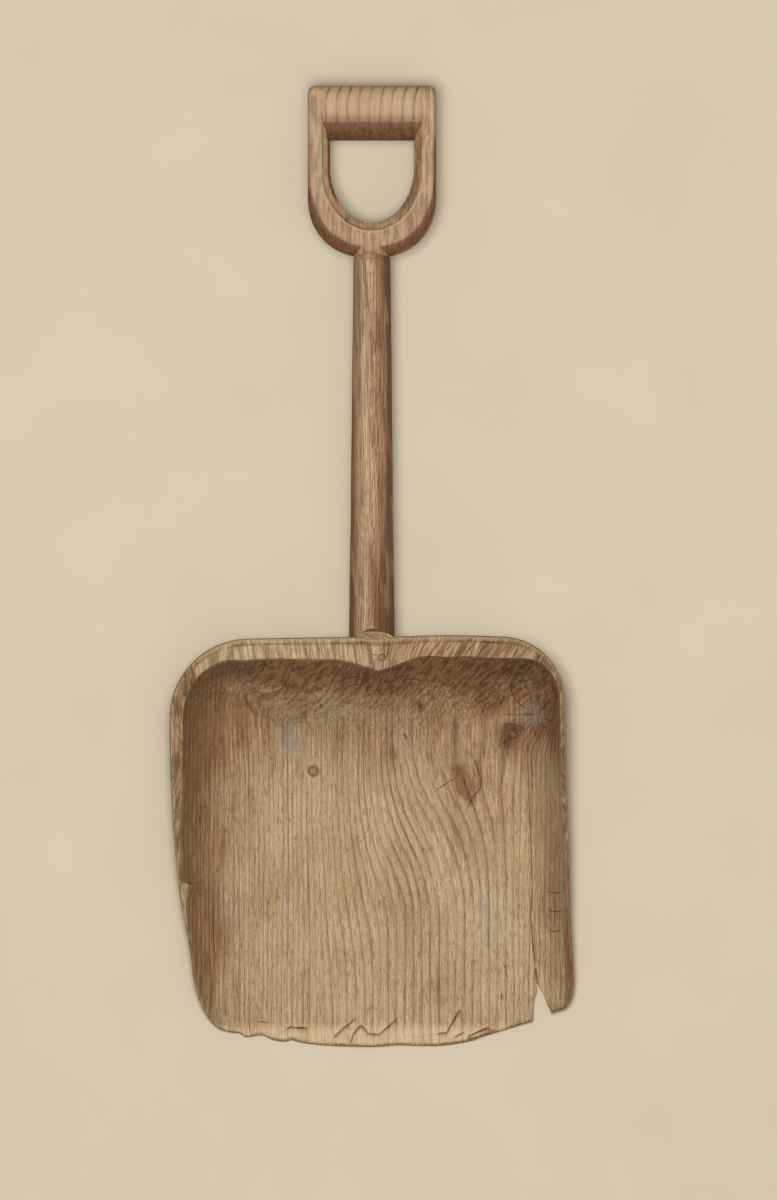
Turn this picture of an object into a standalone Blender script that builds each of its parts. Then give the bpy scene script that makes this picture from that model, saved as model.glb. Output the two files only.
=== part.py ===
"""Grain scoop shovel in wood: a hewn pan, a tapered shaft and a carved D grip.

The shovel lies on the pan's flat underside. +Y runs along the shaft towards the grip, +X to the
right and +Z up. The origin is under the middle of the whole shovel, on the ground. Metres.

Three timbers are joined by two tenons. The shaft's lower tenon is fox-wedged and pegged in the
pan's thick back wall; its upper tenon goes right through the foot of the D and is wedged there.
"""

from math import cos, hypot, pi, radians, sin, tan

import bmesh
import bpy

# Overall
LENGTH = 0.914
PAN_WIDTH = 0.384
PAN_HEIGHT = 0.096
LIP_Y = -LENGTH / 2
GRIP_TOP_Y = LENGTH / 2
BACK_Y = -0.0655

# Pan: rim outline, seen from above
LEFT_X = -PAN_WIDTH / 2
RIGHT_X = PAN_WIDTH / 2
LEFT_CORNER = (-0.1160, -0.1435, 0.0760)  # centre x, centre y, radius
RIGHT_CORNER = (0.1220, -0.1265, 0.0610)
LEFT_SIDE = [(LEFT_X, -0.160), (-0.191, -0.202), (-0.188, -0.259), (-0.182, -0.317),
             (-0.175, -0.354), (-0.170, -0.392)]
LIP = [(-0.165, -0.411), (-0.158, -0.426), (-0.148, -0.438), (-0.137, -0.4425), (-0.126, -0.444),
       (-0.120, -0.4475), (-0.105, -0.446), (-0.094, -0.4505), (-0.083, -0.452), (-0.077, -0.4505),
       (-0.064, -0.4535), (-0.038, -0.456), (0.000, LIP_Y), (0.025, -0.4555), (0.048, -0.456),
       (0.070, -0.4555), (0.094, -0.4515), (0.105, -0.4475), (0.126, -0.441), (0.142, -0.4355),
       (0.153, -0.432), (0.170, -0.4245), (0.1775, -0.4215), (0.183, -0.420), (0.189, -0.412)]
RIGHT_SIDE = [(RIGHT_X, -0.398), (0.191, -0.370), (0.189, -0.335), (0.188, -0.300), (0.187, -0.260),
              (0.185, -0.220), (0.184, -0.180), (0.1835, -0.150)]
CORE_LIP_Y = -0.400  # the pan's middle, towards which every wall section faces
CORE_BACK_Y = -0.135

# Pan: wall section
LIP_THICKNESS = 0.0055
FLOOR_AT_LIP = 0.0055
FLOOR_AT_BACK = 0.013
WALL_RISE = 0.72  # under 1, the side walls climb fast from the lip and then level out
RIM_BACK, RIM_LEFT, RIM_RIGHT = 0.0205, 0.0110, 0.0048
RIM_FRONT_SHARE = 0.55  # the side rims thin towards the lip
RIM_CHAMFER = 0.0040
RIM_INNER_CHAMFER = 0.0022
FLARE_LEFT, FLARE_RIGHT, FLARE_BACK = radians(17), radians(8), radians(3)
RUN_LEFT, RUN_RIGHT, RUN_CORNER, RUN_BACK = 0.046, 0.030, 0.040, 0.072
BASE_ROUND, BASE_ROUND_BACK = 0.016, 0.009
BOSS_X, BOSS_DEPTH, BOSS_HALF_WIDTH = 0.0065, 0.0118, 0.042
STATION_STEP = 0.0068
ROUND_STEPS = 4
WALL_STEPS = 6

# Damage at the lip: a split that opens into a V notch, as (x, y, width) from its tip to the edge
TEAR = [(0.1526, -0.3500, 0.0008), (0.1541, -0.3610, 0.0016), (0.1556, -0.3730, 0.0022),
        (0.1557, -0.3840, 0.0026), (0.1565, -0.3960, 0.0028), (0.1592, -0.4040, 0.0050),
        (0.1606, -0.4100, 0.0100), (0.1606, -0.4170, 0.0135), (0.1622, -0.4240, 0.0172),
        (0.1640, -0.4700, 0.0260)]

# Shaft
AXIS_Z = 0.0720
SHAFT_BASE_R, SHAFT_TOP_R = 0.02185, 0.0178
PAN_SHOULDER_Y = BACK_Y - 0.0045
PAN_TENON_R, PAN_TENON_TIP_R, PAN_TENON_LENGTH = 0.0140, 0.0125, 0.0280
GRIP_FOOT_Y = 0.2936
GRIP_SHOULDER_Y = GRIP_FOOT_Y + 0.0075
GRIP_TENON_R = 0.0090
GRIP_TENON_END_Y = 0.3278
LAP_FLAT_Z = AXIS_Z + 0.0184
LAP_SHOULDER_Y = BACK_Y + 0.0060
TONGUE_X, TONGUE_HALF_WIDTH, TONGUE_END_Y, TONGUE_TOP_Z = 0.0010, 0.0112, BACK_Y + 0.0044, 0.0942
TURN_STEPS = 48

# D grip
GRIP_HALF_WIDTH = 0.0608
GRIP_BAR_HEIGHT = 0.0520
GRIP_BAR_HALF_Z = 0.0176
YOKE_HALF_Z = 0.0164
YOKE_BEND_Y = 0.3525  # where the straight arms start to turn in
YOKE_POWER = 2.3
YOKE_EDGE_POWER = 3.6  # over 2, an oval's shoulders fill out towards a rectangle's
YOKE_STEPS = 28
BAR_POWER = 2.7
OPENING_HALF_WIDTH = 0.0402
OPENING_BEND_Y = 0.3790
OPENING_FOOT_Y = 0.3273

# Fixings
GAP = 0.0003
PEG_X, PEG_Y, PEG_R = 0.0095, -0.0855, 0.0033
PEG_LOW_Z = 0.0500
PLUG_X, PLUG_Y, PLUG_R = -0.0560, -0.1940, 0.0048
WEDGE_TIP = 0.0010
PAN_WEDGE = (0.0170, 0.0100, 0.0026)  # length, half width, thickness at the head
GRIP_WEDGE = (0.0190, 0.0072, 0.0024)


# ---------------------------------------------------------------- scene and mesh helpers

def clear_scene():
    for obj in list(bpy.data.objects):
        bpy.data.objects.remove(obj, do_unlink=True)


def new_collection(name):
    made = bpy.data.collections.new(name)
    bpy.context.scene.collection.children.link(made)
    return made


def wood(name, colour, roughness=0.72):
    made = bpy.data.materials.new(name)
    made.use_nodes = True
    shader = made.node_tree.nodes["Principled BSDF"]
    shader.inputs["Base Color"].default_value = (*colour, 1.0)
    shader.inputs["Roughness"].default_value = roughness
    shader.inputs["Metallic"].default_value = 0.0
    return made


def add_object(name, bm, group, material=None):
    bm.normal_update()
    bmesh.ops.recalc_face_normals(bm, faces=bm.faces)
    mesh = bpy.data.meshes.new(name)
    bm.to_mesh(mesh)
    bm.free()
    obj = bpy.data.objects.new(name, mesh)
    group.objects.link(obj)
    if material:
        mesh.materials.append(material)
        mesh.shade_smooth()
        mesh.set_sharp_from_angle(angle=radians(35))
    else:
        obj.hide_render = True
        obj.display_type = "WIRE"
    return obj


def boolean(obj, tool, operation):
    modifier = obj.modifiers.new(f"{operation} {tool.name}", "BOOLEAN")
    modifier.object = tool
    modifier.operation = operation
    modifier.solver = "EXACT"


def prism(outline, low, high):
    """A flat outline in X and Y, raised from z = low to z = high."""
    bm = bmesh.new()
    floor = bm.faces.new([bm.verts.new((x, y, low)) for x, y in outline])
    raised = bmesh.ops.extrude_face_region(bm, geom=[floor])["geom"]
    moved = [v for v in raised if isinstance(v, bmesh.types.BMVert)]
    bmesh.ops.translate(bm, verts=moved, vec=(0, 0, high - low))
    return bm


def turned(name, profile, group, material=None):
    """A profile of (radius, y) pairs turned about the shaft's axis, which runs along Y at AXIS_Z."""
    mesh = bpy.data.meshes.new(name)
    mesh.from_pydata([(r, 0, y) for r, y in profile], [(i, i + 1) for i in range(len(profile) - 1)], [])
    obj = bpy.data.objects.new(name, mesh)
    group.objects.link(obj)
    screw = obj.modifiers.new("Turned", "SCREW")
    screw.axis = "Z"
    screw.steps = screw.render_steps = TURN_STEPS
    screw.use_merge_vertices = True
    screw.merge_threshold = 0.00001
    screw.use_normal_calculate = True
    obj.rotation_euler = (-pi / 2, 0, 0)  # turned about Z, then laid along +Y
    obj.location = (0, 0, AXIS_Z)
    if material:
        mesh.materials.append(material)
    else:
        obj.hide_render = True
        obj.display_type = "WIRE"
    return obj


def cylinder(x, y, low, high, low_radius, high_radius, sides=24):
    """An upright round peg or hole."""
    bm = bmesh.new()
    bmesh.ops.create_cone(bm, cap_ends=True, segments=sides, radius1=low_radius, radius2=high_radius,
                          depth=high - low)
    bmesh.ops.translate(bm, verts=bm.verts, vec=(x, y, (low + high) / 2))
    return bm


# ---------------------------------------------------------------- plan curves

def spline(points, step):
    """A smooth line through the points, sampled about every step, without its last point."""
    padded = [points[0], *points, points[-1]]
    made = []
    for before, a, b, after in zip(padded, padded[1:], padded[2:], padded[3:], strict=False):
        count = max(1, round(hypot(b[0] - a[0], b[1] - a[1]) / step))
        for k in range(count):
            t = k / count
            made.append(tuple(
                0.5 * (2 * a[i] + (b[i] - before[i]) * t
                       + (2 * before[i] - 5 * a[i] + 4 * b[i] - after[i]) * t * t
                       + (3 * a[i] - before[i] - 3 * b[i] + after[i]) * t * t * t)
                for i in range(2)))
    return made


def arc(centre_x, centre_y, radius, start, end, step):
    count = max(2, round(radius * abs(end - start) / step))
    angles = [start + (end - start) * k / count for k in range(count)]
    return [(centre_x + radius * cos(a), centre_y + radius * sin(a)) for a in angles]


def rim_outline():
    """The rim's outer edge seen from above, anticlockwise from the back of the left side."""
    back_right_x, back_left_x = RIGHT_CORNER[0], LEFT_CORNER[0]
    back = [(back_right_x, BACK_Y), (0.075, BACK_Y + 0.0012), (0.020, BACK_Y), (-0.060, BACK_Y - 0.0010),
            (back_left_x, LEFT_CORNER[1] + LEFT_CORNER[2])]
    front = spline(LEFT_SIDE + LIP + RIGHT_SIDE, STATION_STEP)
    right = arc(*RIGHT_CORNER, 0, pi / 2, STATION_STEP)
    left = arc(*LEFT_CORNER, pi / 2, pi, STATION_STEP)
    return front + right + spline(back, STATION_STEP) + left


# ---------------------------------------------------------------- the pan's wall section

def ease(t):
    t = min(1.0, max(0.0, t))
    return t * t * (3 - 2 * t)


def inward(x, y):
    """The unit direction from a point of the rim to the nearest point of the pan's middle."""
    dx = min(RIGHT_CORNER[0], max(LEFT_CORNER[0], x)) - x
    dy = min(CORE_BACK_Y, max(CORE_LIP_Y, y)) - y
    size = hypot(dx, dy)
    return dx / size, dy / size


def floor_height(y):
    slope = (FLOOR_AT_BACK - FLOOR_AT_LIP) / (CORE_BACK_Y - LIP_Y)
    return FLOOR_AT_LIP + slope * (y - LIP_Y)


def rim_height(y, sideways):
    """The side walls climb from the lip to the back; along the lip itself there is no wall."""
    share = min(1.0, max(0.0, (y - LIP_Y) / (BACK_Y - LIP_Y)))
    wall = LIP_THICKNESS + (PAN_HEIGHT - LIP_THICKNESS) * share ** WALL_RISE
    edge = max(LIP_THICKNESS, floor_height(y))
    return wall if y > CORE_LIP_Y else edge + (wall - edge) * abs(sideways) ** 1.5


def by_side(dx, dy, left, right, back):
    """A value that turns from one side's to the next round the corners. dx and dy face inwards."""
    side = left if dx > 0 else right
    return back + (side - back) * ease(abs(dx)) if dy <= 0 else side


def rim_width(x, y, dx, dy):
    share = ease((y - LIP_Y) / (CORE_BACK_Y - LIP_Y))
    thin = RIM_FRONT_SHARE + (1 - RIM_FRONT_SHARE) * share
    boss = BOSS_DEPTH * max(0.0, 1 - abs(x - BOSS_X) / BOSS_HALF_WIDTH) ** 1.25 if y > CORE_BACK_Y else 0.0
    return by_side(dx, dy, RIM_LEFT * thin, RIM_RIGHT * thin, RIM_BACK) + boss


def wall_run(x, dx, dy):
    """How far the hollowed wall reaches in from the rim to the floor at full height."""
    along = (x - LEFT_CORNER[0]) / (RIGHT_CORNER[0] - LEFT_CORNER[0])
    middle = sin(pi * min(1.0, max(0.0, along))) ** 0.6
    back = RUN_CORNER + (RUN_BACK - RUN_CORNER) * middle
    return by_side(dx, dy, RUN_LEFT, RUN_RIGHT, back)


def wall_section(x, y):
    """The wall's section at one point of the rim, from the underside over the rim to the floor."""
    dx, dy = inward(x, y)
    height = rim_height(y, dx)
    base = min(by_side(dx, dy, BASE_ROUND, BASE_ROUND, BASE_ROUND_BACK), 0.35 * height)
    flare = tan(by_side(dx, dy, FLARE_LEFT, FLARE_RIGHT, FLARE_BACK)) * (height - base)
    width = rim_width(x, y, dx, dy)
    chamfer = min(RIM_CHAMFER, 0.3 * height, 0.4 * width)
    edge = max(0.0, min(RIM_INNER_CHAMFER, 0.35 * width, 0.4 * (height - floor_height(y))))
    depth_share = max(0.0, height - edge - floor_height(y)) / (PAN_HEIGHT - FLOOR_AT_BACK)
    run = 0.012 + wall_run(x, dx, dy) * depth_share ** 0.6

    section = []
    for k in range(ROUND_STEPS + 1):
        turn = pi / 2 * k / ROUND_STEPS
        section.append((flare + base * (1 - sin(turn)), base * (1 - cos(turn))))
    section.append((0.35 * flare, 0.45 * base + 0.55 * height))
    section.append((0.0, height - chamfer))
    section.append((0.3 * chamfer, height - 0.3 * chamfer))
    section.append((chamfer, height))
    section.append((width - edge, height))

    points = [(x + dx * inset, y + dy * inset, z) for inset, z in section]
    for k in range(WALL_STEPS + 1):
        turn = pi / 2 * k / WALL_STEPS
        inset = width + run * (0.45 * sin(turn) + 0.55 * (1 - cos(turn)))
        px, py = x + dx * inset, y + dy * inset
        floor = floor_height(py)
        points.append((px, py, floor + max(0.0, height - edge - floor) * (1 - sin(turn))))
    return points


def loft(sections):
    """Skins closed rings of matching points, and closes the first and last ring."""
    bm = bmesh.new()
    rows = [[bm.verts.new(p) for p in section] for section in sections]
    for a, b in zip(rows, rows[1:] + rows[:1], strict=True):
        for k in range(len(a) - 1):
            bm.faces.new((a[k], b[k], b[k + 1], a[k + 1]))
    bm.faces.new([row[0] for row in reversed(rows)])
    bm.faces.new([row[-1] for row in rows])
    return bm


# ---------------------------------------------------------------- the pieces

def shaft_profile(grow):
    """The turned shaft with both tenons, or its envelope when grow is the clearance round it."""
    tip_y = PAN_SHOULDER_Y - PAN_TENON_LENGTH
    return [(0.0, GRIP_TENON_END_Y + grow), (GRIP_TENON_R + grow, GRIP_TENON_END_Y + grow),
            (GRIP_TENON_R + grow, GRIP_SHOULDER_Y + grow), (SHAFT_TOP_R + grow, GRIP_SHOULDER_Y + grow),
            (SHAFT_TOP_R + grow, GRIP_FOOT_Y - 0.030), (0.01875 + grow, 0.200), (0.0200 + grow, 0.080),
            (0.0211 + grow, -0.010), (SHAFT_BASE_R + grow, BACK_Y + 0.012),
            (SHAFT_BASE_R + grow, PAN_SHOULDER_Y - grow), (PAN_TENON_R + grow, PAN_SHOULDER_Y - grow),
            (PAN_TENON_TIP_R + grow, tip_y - grow), (0.0, tip_y - grow)]


def lap_cutter(name, shoulder_y, flat_z, group):
    """Takes the front off the shaft's foot, where the rim's tongue laps over it."""
    outline = [(-0.030, shoulder_y), (-0.030, BACK_Y - 0.060), (0.030, BACK_Y - 0.060), (0.030, shoulder_y)]
    return add_object(name, prism(outline, flat_z, PAN_HEIGHT + 0.010), group)


def shaft_envelope(name, group):
    """What the pan and the grip are hollowed by: the shaft with its lap, grown by the gap."""
    envelope = turned(name, shaft_profile(GAP), group)
    boolean(envelope, lap_cutter(f"{name}_lap", LAP_SHOULDER_Y, LAP_FLAT_Z + GAP, group), "DIFFERENCE")
    return envelope


def wedge(size, grow):
    """A wedge lying along +Y, its head at y = 0 and its tip towards +Y, thickness along X."""
    length, half_width, thick = size
    head, tip = thick / 2 + grow, WEDGE_TIP / 2 + grow
    outline = [(-head, -grow), (head, -grow), (tip, length + grow), (-tip, length + grow)]
    return prism(outline, -half_width - grow, half_width + grow)


def place_pan_wedge(bm):
    """Head at the blind end of the pan's tenon, blade upright."""
    bmesh.ops.translate(bm, verts=bm.verts, vec=(0, PAN_SHOULDER_Y - PAN_TENON_LENGTH + 0.0004, AXIS_Z))
    return bm


def place_grip_wedge(bm):
    """Head at the open end of the grip's tenon, blade flat, driven down towards the pan."""
    for v in bm.verts:
        v.co = (v.co.z, GRIP_TENON_END_Y - 0.0002 - v.co.y, AXIS_Z + v.co.x)
    return bm


def make_scoop(parts, tools, material):
    pan = add_object("scoop", loft([wall_section(x, y) for x, y in rim_outline()]), parts, material)

    low, high = LAP_FLAT_Z + 2 * GAP, TONGUE_TOP_Z
    tongue_root_y = BACK_Y - 0.008
    half = TONGUE_HALF_WIDTH
    outline = [(TONGUE_X - half, TONGUE_END_Y), (TONGUE_X - half - 0.001, tongue_root_y),
               (TONGUE_X + half + 0.004, tongue_root_y), (TONGUE_X + half, TONGUE_END_Y)]
    boolean(pan, add_object("tongue", prism(outline, low, high), tools), "UNION")

    left = [(x - width / 2, y) for x, y, width in TEAR]
    right = [(x + width / 2, y) for x, y, width in reversed(TEAR)]
    boolean(pan, add_object("tear_tool", prism(left + right, -0.01, 0.12), tools), "DIFFERENCE")
    boolean(pan, shaft_envelope("pan_socket_tool", tools), "DIFFERENCE")
    hole = cylinder(PEG_X, PEG_Y, PEG_LOW_Z - GAP, PAN_HEIGHT + 0.01, PEG_R + GAP, PEG_R + GAP)
    boolean(pan, add_object("pan_peg_tool", hole, tools), "DIFFERENCE")
    hole = cylinder(PLUG_X, PLUG_Y, -0.01, 0.03, PLUG_R + GAP, PLUG_R + GAP)
    boolean(pan, add_object("plug_tool", hole, tools), "DIFFERENCE")
    return pan


def make_shaft(parts, tools, material):
    shaft = turned("shaft", shaft_profile(0.0), parts, material)
    boolean(shaft, lap_cutter("shaft_lap_tool", LAP_SHOULDER_Y, LAP_FLAT_Z, tools), "DIFFERENCE")
    hole = cylinder(PEG_X, PEG_Y, PEG_LOW_Z - 0.01, PAN_HEIGHT, PEG_R + GAP, PEG_R + GAP)
    boolean(shaft, add_object("shaft_peg_tool", hole, tools), "DIFFERENCE")
    kerf = add_object("pan_kerf_tool", place_pan_wedge(wedge((PAN_WEDGE[0], 0.02, PAN_WEDGE[2]), GAP)), tools)
    boolean(shaft, kerf, "DIFFERENCE")
    kerf = add_object("grip_kerf_tool", place_grip_wedge(wedge((GRIP_WEDGE[0], 0.02, GRIP_WEDGE[2]), GAP)), tools)
    boolean(shaft, kerf, "DIFFERENCE")
    return shaft


def signed_power(value, power):
    """A superellipse's coordinate: the sign of the sine or cosine, with its size raised."""
    return (1 if value > 0 else -1) * abs(value) ** (2 / power)


def yoke_lines():
    """The U of the D from left to right: matching points on its outer line and on the opening's."""
    top = GRIP_TOP_Y - GRIP_BAR_HEIGHT / 2
    outer, inner = [(-GRIP_HALF_WIDTH, top)], [(-OPENING_HALF_WIDTH, top)]
    for k in range(YOKE_STEPS + 1):
        a = pi * (1 - k / YOKE_STEPS)
        outer.append((GRIP_HALF_WIDTH * signed_power(cos(a), YOKE_POWER),
                      YOKE_BEND_Y - (YOKE_BEND_Y - GRIP_FOOT_Y) * signed_power(sin(a), YOKE_POWER)))
        inner.append((OPENING_HALF_WIDTH * cos(a),
                      OPENING_BEND_Y - (OPENING_BEND_Y - OPENING_FOOT_Y) * sin(a)))
    outer.append((GRIP_HALF_WIDTH, top))
    inner.append((OPENING_HALF_WIDTH, top))
    return outer, inner


def rounded_section(half_width, half_height, power, count):
    angles = [2 * pi * k / count for k in range(count)]
    return [(half_width * signed_power(cos(a), power), half_height * signed_power(sin(a), power))
            for a in angles]


def tube(rows):
    """Skins a run of matching closed sections and closes both ends."""
    bm = bmesh.new()
    rings = [[bm.verts.new(p) for p in row] for row in rows]
    for a, b in zip(rings, rings[1:], strict=False):
        for k in range(len(a)):
            n = (k + 1) % len(a)
            bm.faces.new((a[k], a[n], b[n], b[k]))
    bm.faces.new(rings[0])
    bm.faces.new(rings[-1])
    return bm


def yoke():
    """The U, with a soft oblong section that spans from its outer line to the opening's."""
    rows = []
    for (ox, oy), (ix, iy) in zip(*yoke_lines(), strict=True):
        section = rounded_section(0.5, YOKE_HALF_Z, YOKE_EDGE_POWER, 28)
        rows.append([(ox + (ix - ox) * (0.5 + across), oy + (iy - oy) * (0.5 + across), AXIS_Z + z)
                     for across, z in section])
    return tube(rows)


def hand_bar():
    """The bar along X, flatter over its top than underneath, drawn in where its ends are worn round."""
    middle = GRIP_TOP_Y - GRIP_BAR_HEIGHT / 2
    section = rounded_section(GRIP_BAR_HALF_Z, GRIP_BAR_HEIGHT / 2, BAR_POWER, 32)
    ends = [(1.0, 0.80), (0.985, 0.90), (0.95, 0.965), (0.90, 1.0)]  # share of half width, size
    stations = ends + [(-share, size) for share, size in reversed(ends)]
    return tube([[(GRIP_HALF_WIDTH * share, middle + y * size, AXIS_Z + z * size) for z, y in section]
                 for share, size in stations])


def make_grip(parts, tools, material):
    grip = add_object("d_grip", yoke(), parts, material)
    boolean(grip, add_object("hand_bar_tool", hand_bar(), tools), "UNION")
    boolean(grip, shaft_envelope("grip_socket_tool", tools), "DIFFERENCE")
    return grip


def make_fixings(parts, material, dark):
    add_object("pan_tenon_wedge", place_pan_wedge(wedge(PAN_WEDGE, 0.0)), parts, material)
    add_object("grip_tenon_wedge", place_grip_wedge(wedge(GRIP_WEDGE, 0.0)), parts, material)
    peg = cylinder(PEG_X, PEG_Y, PEG_LOW_Z, PAN_HEIGHT, PEG_R * 0.92, PEG_R)
    add_object("pan_tenon_peg", peg, parts, dark)
    top = floor_height(PLUG_Y) + 0.0003
    plug = cylinder(PLUG_X, PLUG_Y, 0.0006, top, PLUG_R * 0.94, PLUG_R)
    add_object("floor_plug", plug, parts, dark)


def main():
    clear_scene()
    parts = new_collection("grain_scoop_shovel")
    tools = new_collection("cutters")
    tools.hide_render = True
    pan_wood = wood("weathered_wood", (0.42, 0.29, 0.17))
    handle_wood = wood("handled_wood", (0.34, 0.21, 0.12), 0.6)
    peg_wood = wood("peg_wood", (0.26, 0.16, 0.09))
    make_scoop(parts, tools, pan_wood)
    make_shaft(parts, tools, handle_wood)
    make_grip(parts, tools, handle_wood)
    make_fixings(parts, handle_wood, peg_wood)


main()
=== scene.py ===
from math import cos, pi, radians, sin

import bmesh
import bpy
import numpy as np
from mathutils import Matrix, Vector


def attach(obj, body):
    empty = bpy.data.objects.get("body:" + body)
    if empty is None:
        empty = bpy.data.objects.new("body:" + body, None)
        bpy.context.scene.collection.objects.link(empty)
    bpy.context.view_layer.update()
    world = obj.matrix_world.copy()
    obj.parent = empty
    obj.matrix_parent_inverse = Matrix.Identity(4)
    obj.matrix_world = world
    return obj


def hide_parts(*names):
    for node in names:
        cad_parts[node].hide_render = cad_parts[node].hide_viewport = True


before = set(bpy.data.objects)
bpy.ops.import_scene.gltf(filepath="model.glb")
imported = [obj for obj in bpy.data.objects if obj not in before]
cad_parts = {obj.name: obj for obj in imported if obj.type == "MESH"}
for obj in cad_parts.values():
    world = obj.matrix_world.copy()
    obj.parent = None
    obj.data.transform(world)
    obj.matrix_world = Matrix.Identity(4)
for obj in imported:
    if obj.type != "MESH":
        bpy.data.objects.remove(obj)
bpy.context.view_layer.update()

# %% [markdown]
# # A hewn grain shovel
# A farm worker's shovel for grain and seed. The pan is hollowed from one wide slab, the shaft is let into
# its thick back wall, and a D-shaped grip is carved from a board. Wood is the whole of this object, so most
# of the work is in the timber: how its rings run, how it was cut, and how it wore.

MM = 0.001
BACK_Y, LIP_Y = -0.0655, -0.457  # the pan's back and its lip
PAN_HEIGHT = 0.096
AXIS_Z = 0.0720  # height of the shaft's axis above the floor
print("fixed frame:", sorted(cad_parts))


def ease(t):
    """0 up to 0 and 1 from 1, with a smooth rise in between."""
    t = np.clip(t, 0.0, 1.0)
    return t * t * (3 - 2 * t)


def bump(distance, reach):
    """1 at no distance, falling smoothly to 0 at the reach."""
    return ease(1 - np.abs(distance) / reach)


def mottle(x, y, size_x, size_y, seed):
    """Smooth random values from -1 to 1, in patches of the given size."""
    u, v = np.asarray(x) / size_x + 500.0, np.asarray(y) / size_y + 500.0
    table = np.random.default_rng(seed).uniform(-1, 1, (256, 256))
    i, j = np.floor(u).astype(int), np.floor(v).astype(int)
    s, t = ease(u - i), ease(v - j)
    i, j = i % 255, j % 255
    low = table[i, j] * (1 - s) + table[i + 1, j] * s
    high = table[i, j + 1] * (1 - s) + table[i + 1, j + 1] * s
    return low * (1 - t) + high * t


def make_mesh(name, points, faces):
    """A new object from points and faces, at the origin."""
    mesh = bpy.data.meshes.new(name)
    mesh.from_pydata(np.asarray(points), [], faces)
    mesh.update()
    obj = bpy.data.objects.new(name, mesh)
    bpy.context.scene.collection.objects.link(obj)
    return obj


def positions(obj):
    """Every point of the mesh, one row each."""
    flat = np.empty(len(obj.data.vertices) * 3, np.float32)
    obj.data.vertices.foreach_get("co", flat)
    return flat.reshape(-1, 3).astype(float)


def set_positions(obj, points):
    obj.data.vertices.foreach_set("co", points.astype(np.float32).ravel())
    obj.data.update()


def store(obj, name, values):
    """Keeps a value, or a vector, on every point for the finish to read."""
    kind = "FLOAT" if values.ndim == 1 else "FLOAT_VECTOR"
    layer = obj.data.attributes.new(name, kind, "POINT")
    layer.data.foreach_set("value" if values.ndim == 1 else "vector", values.astype(np.float32).ravel())


def read(obj, name):
    """The values that `store` kept."""
    layer = obj.data.attributes[name]
    values = np.empty(len(layer.data), np.float32)
    layer.data.foreach_get("value", values)
    return values.astype(float)


def apply_modifiers(obj):
    """Replaces the object's mesh with its finished one and drops the modifiers."""
    graph = bpy.context.evaluated_depsgraph_get()
    mesh = bpy.data.meshes.new_from_object(obj.evaluated_get(graph), depsgraph=graph)
    obj.modifiers.clear()
    obj.data = mesh


# %% [markdown]
# ## The timber
# Rings are laid down as nested shells round the tree's pith. A sawn or hewn face cuts through them, and
# each shell shows as one line: pale early wood that darkens into a narrow hard band of late wood. Every
# timber here carries two fields on its points. `rings` counts the shells, so its whole numbers are the
# lines. `grain` holds distance across the grain, along it and into the wood, for pores and fibres.
#
# A ready-made wood pattern laid over each piece would be quicker, but its lines could not swing round a
# knot or turn on a hand bar. So one node tree makes every finish here from what the points hold: the two
# fields, the strokes that an edge tool left (`hewn` and `strokes`), how far each spot is darkened by staining
# and painted shade, how far it is paled by wear and painted highlights, and how far it is greyed.

# %% A wood finish driven by the timber's own fields
def add(tree, kind, values=(), **settings):
    """One shader node. Values are (input, value or socket) pairs."""
    made = tree.nodes.new(kind)
    for key, value in settings.items():
        setattr(made, key, value)
    for key, value in values:
        if isinstance(value, bpy.types.NodeSocket):
            tree.links.new(value, made.inputs[key])
        else:
            made.inputs[key].default_value = value
    return made


def maths(tree, operation, a, b=0.0, clamp=False):
    """A sum, product or other step with two values."""
    return add(tree, "ShaderNodeMath", [(0, a), (1, b)], operation=operation, use_clamp=clamp).outputs[0]


def ramp(tree, value, stops):
    """A grey ramp of (position, value) stops."""
    made = add(tree, "ShaderNodeValToRGB", [(0, value)])
    elements = made.color_ramp.elements
    while len(elements) < len(stops):
        elements.new(0.5)
    for element, (place, level) in zip(elements, stops, strict=True):
        element.position = place
        element.color = (level, level, level, 1)
    return made.outputs[0]


def mixed(tree, share, a, b, blend="MIX"):
    """One colour laid over another. A colour is a socket or three numbers."""
    made = tree.nodes.new("ShaderNodeMix")
    made.data_type, made.blend_type = "RGBA", blend
    inputs = [made.inputs[0]] + [s for s in made.inputs if s.type == "RGBA"]
    for socket, value in zip(inputs, (share, a, b), strict=True):
        if isinstance(value, bpy.types.NodeSocket):
            tree.links.new(value, socket)
        else:
            socket.default_value = value if isinstance(value, float) else (*value, 1.0)
    return next(s for s in made.outputs if s.type == "RGBA")


def field(tree, name):
    """A value or vector kept on the points. It reads 0 on a piece that doesn't have it."""
    return add(tree, "ShaderNodeAttribute", attribute_name=name)


def noise(tree, place, scale, detail, roughness=0.5):
    """Cloudy values round 0.5."""
    return add(tree, "ShaderNodeTexNoise", [("Vector", place), ("Scale", scale), ("Detail", detail),
                                            ("Roughness", roughness)]).outputs[0]


def times(tree, a, b, clamp=False):
    """A product."""
    return maths(tree, "MULTIPLY", a, b, clamp)


def streaks(tree, grain, across, along, detail=3.0, seed=0.0):
    """Noise in long thin streaks that follow the grain. Across and along are streaks per metre."""
    scaled = add(tree, "ShaderNodeMapping", [("Vector", grain), ("Scale", (across, along, across)),
                                             ("Location", (seed, seed, seed))])
    return noise(tree, scaled.outputs[0], 1.0, detail, 0.6)


def cut_lines(tree, fibre):
    """Cracks and cuts: where the stored distance to the nearest one is under its stored width."""
    side = maths(tree, "ADD", field(tree, "cut_side").outputs["Fac"],
                 times(tree, maths(tree, "SUBTRACT", fibre, 0.5), 1.2))
    width = field(tree, "cut_width").outputs["Fac"]
    share = maths(tree, "DIVIDE", maths(tree, "ABSOLUTE", side), maths(tree, "MAXIMUM", width, 0.05))
    return ramp(tree, times(tree, share, 0.5, True), [(0.18, 1.0), (0.5, 0.0)])


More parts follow.
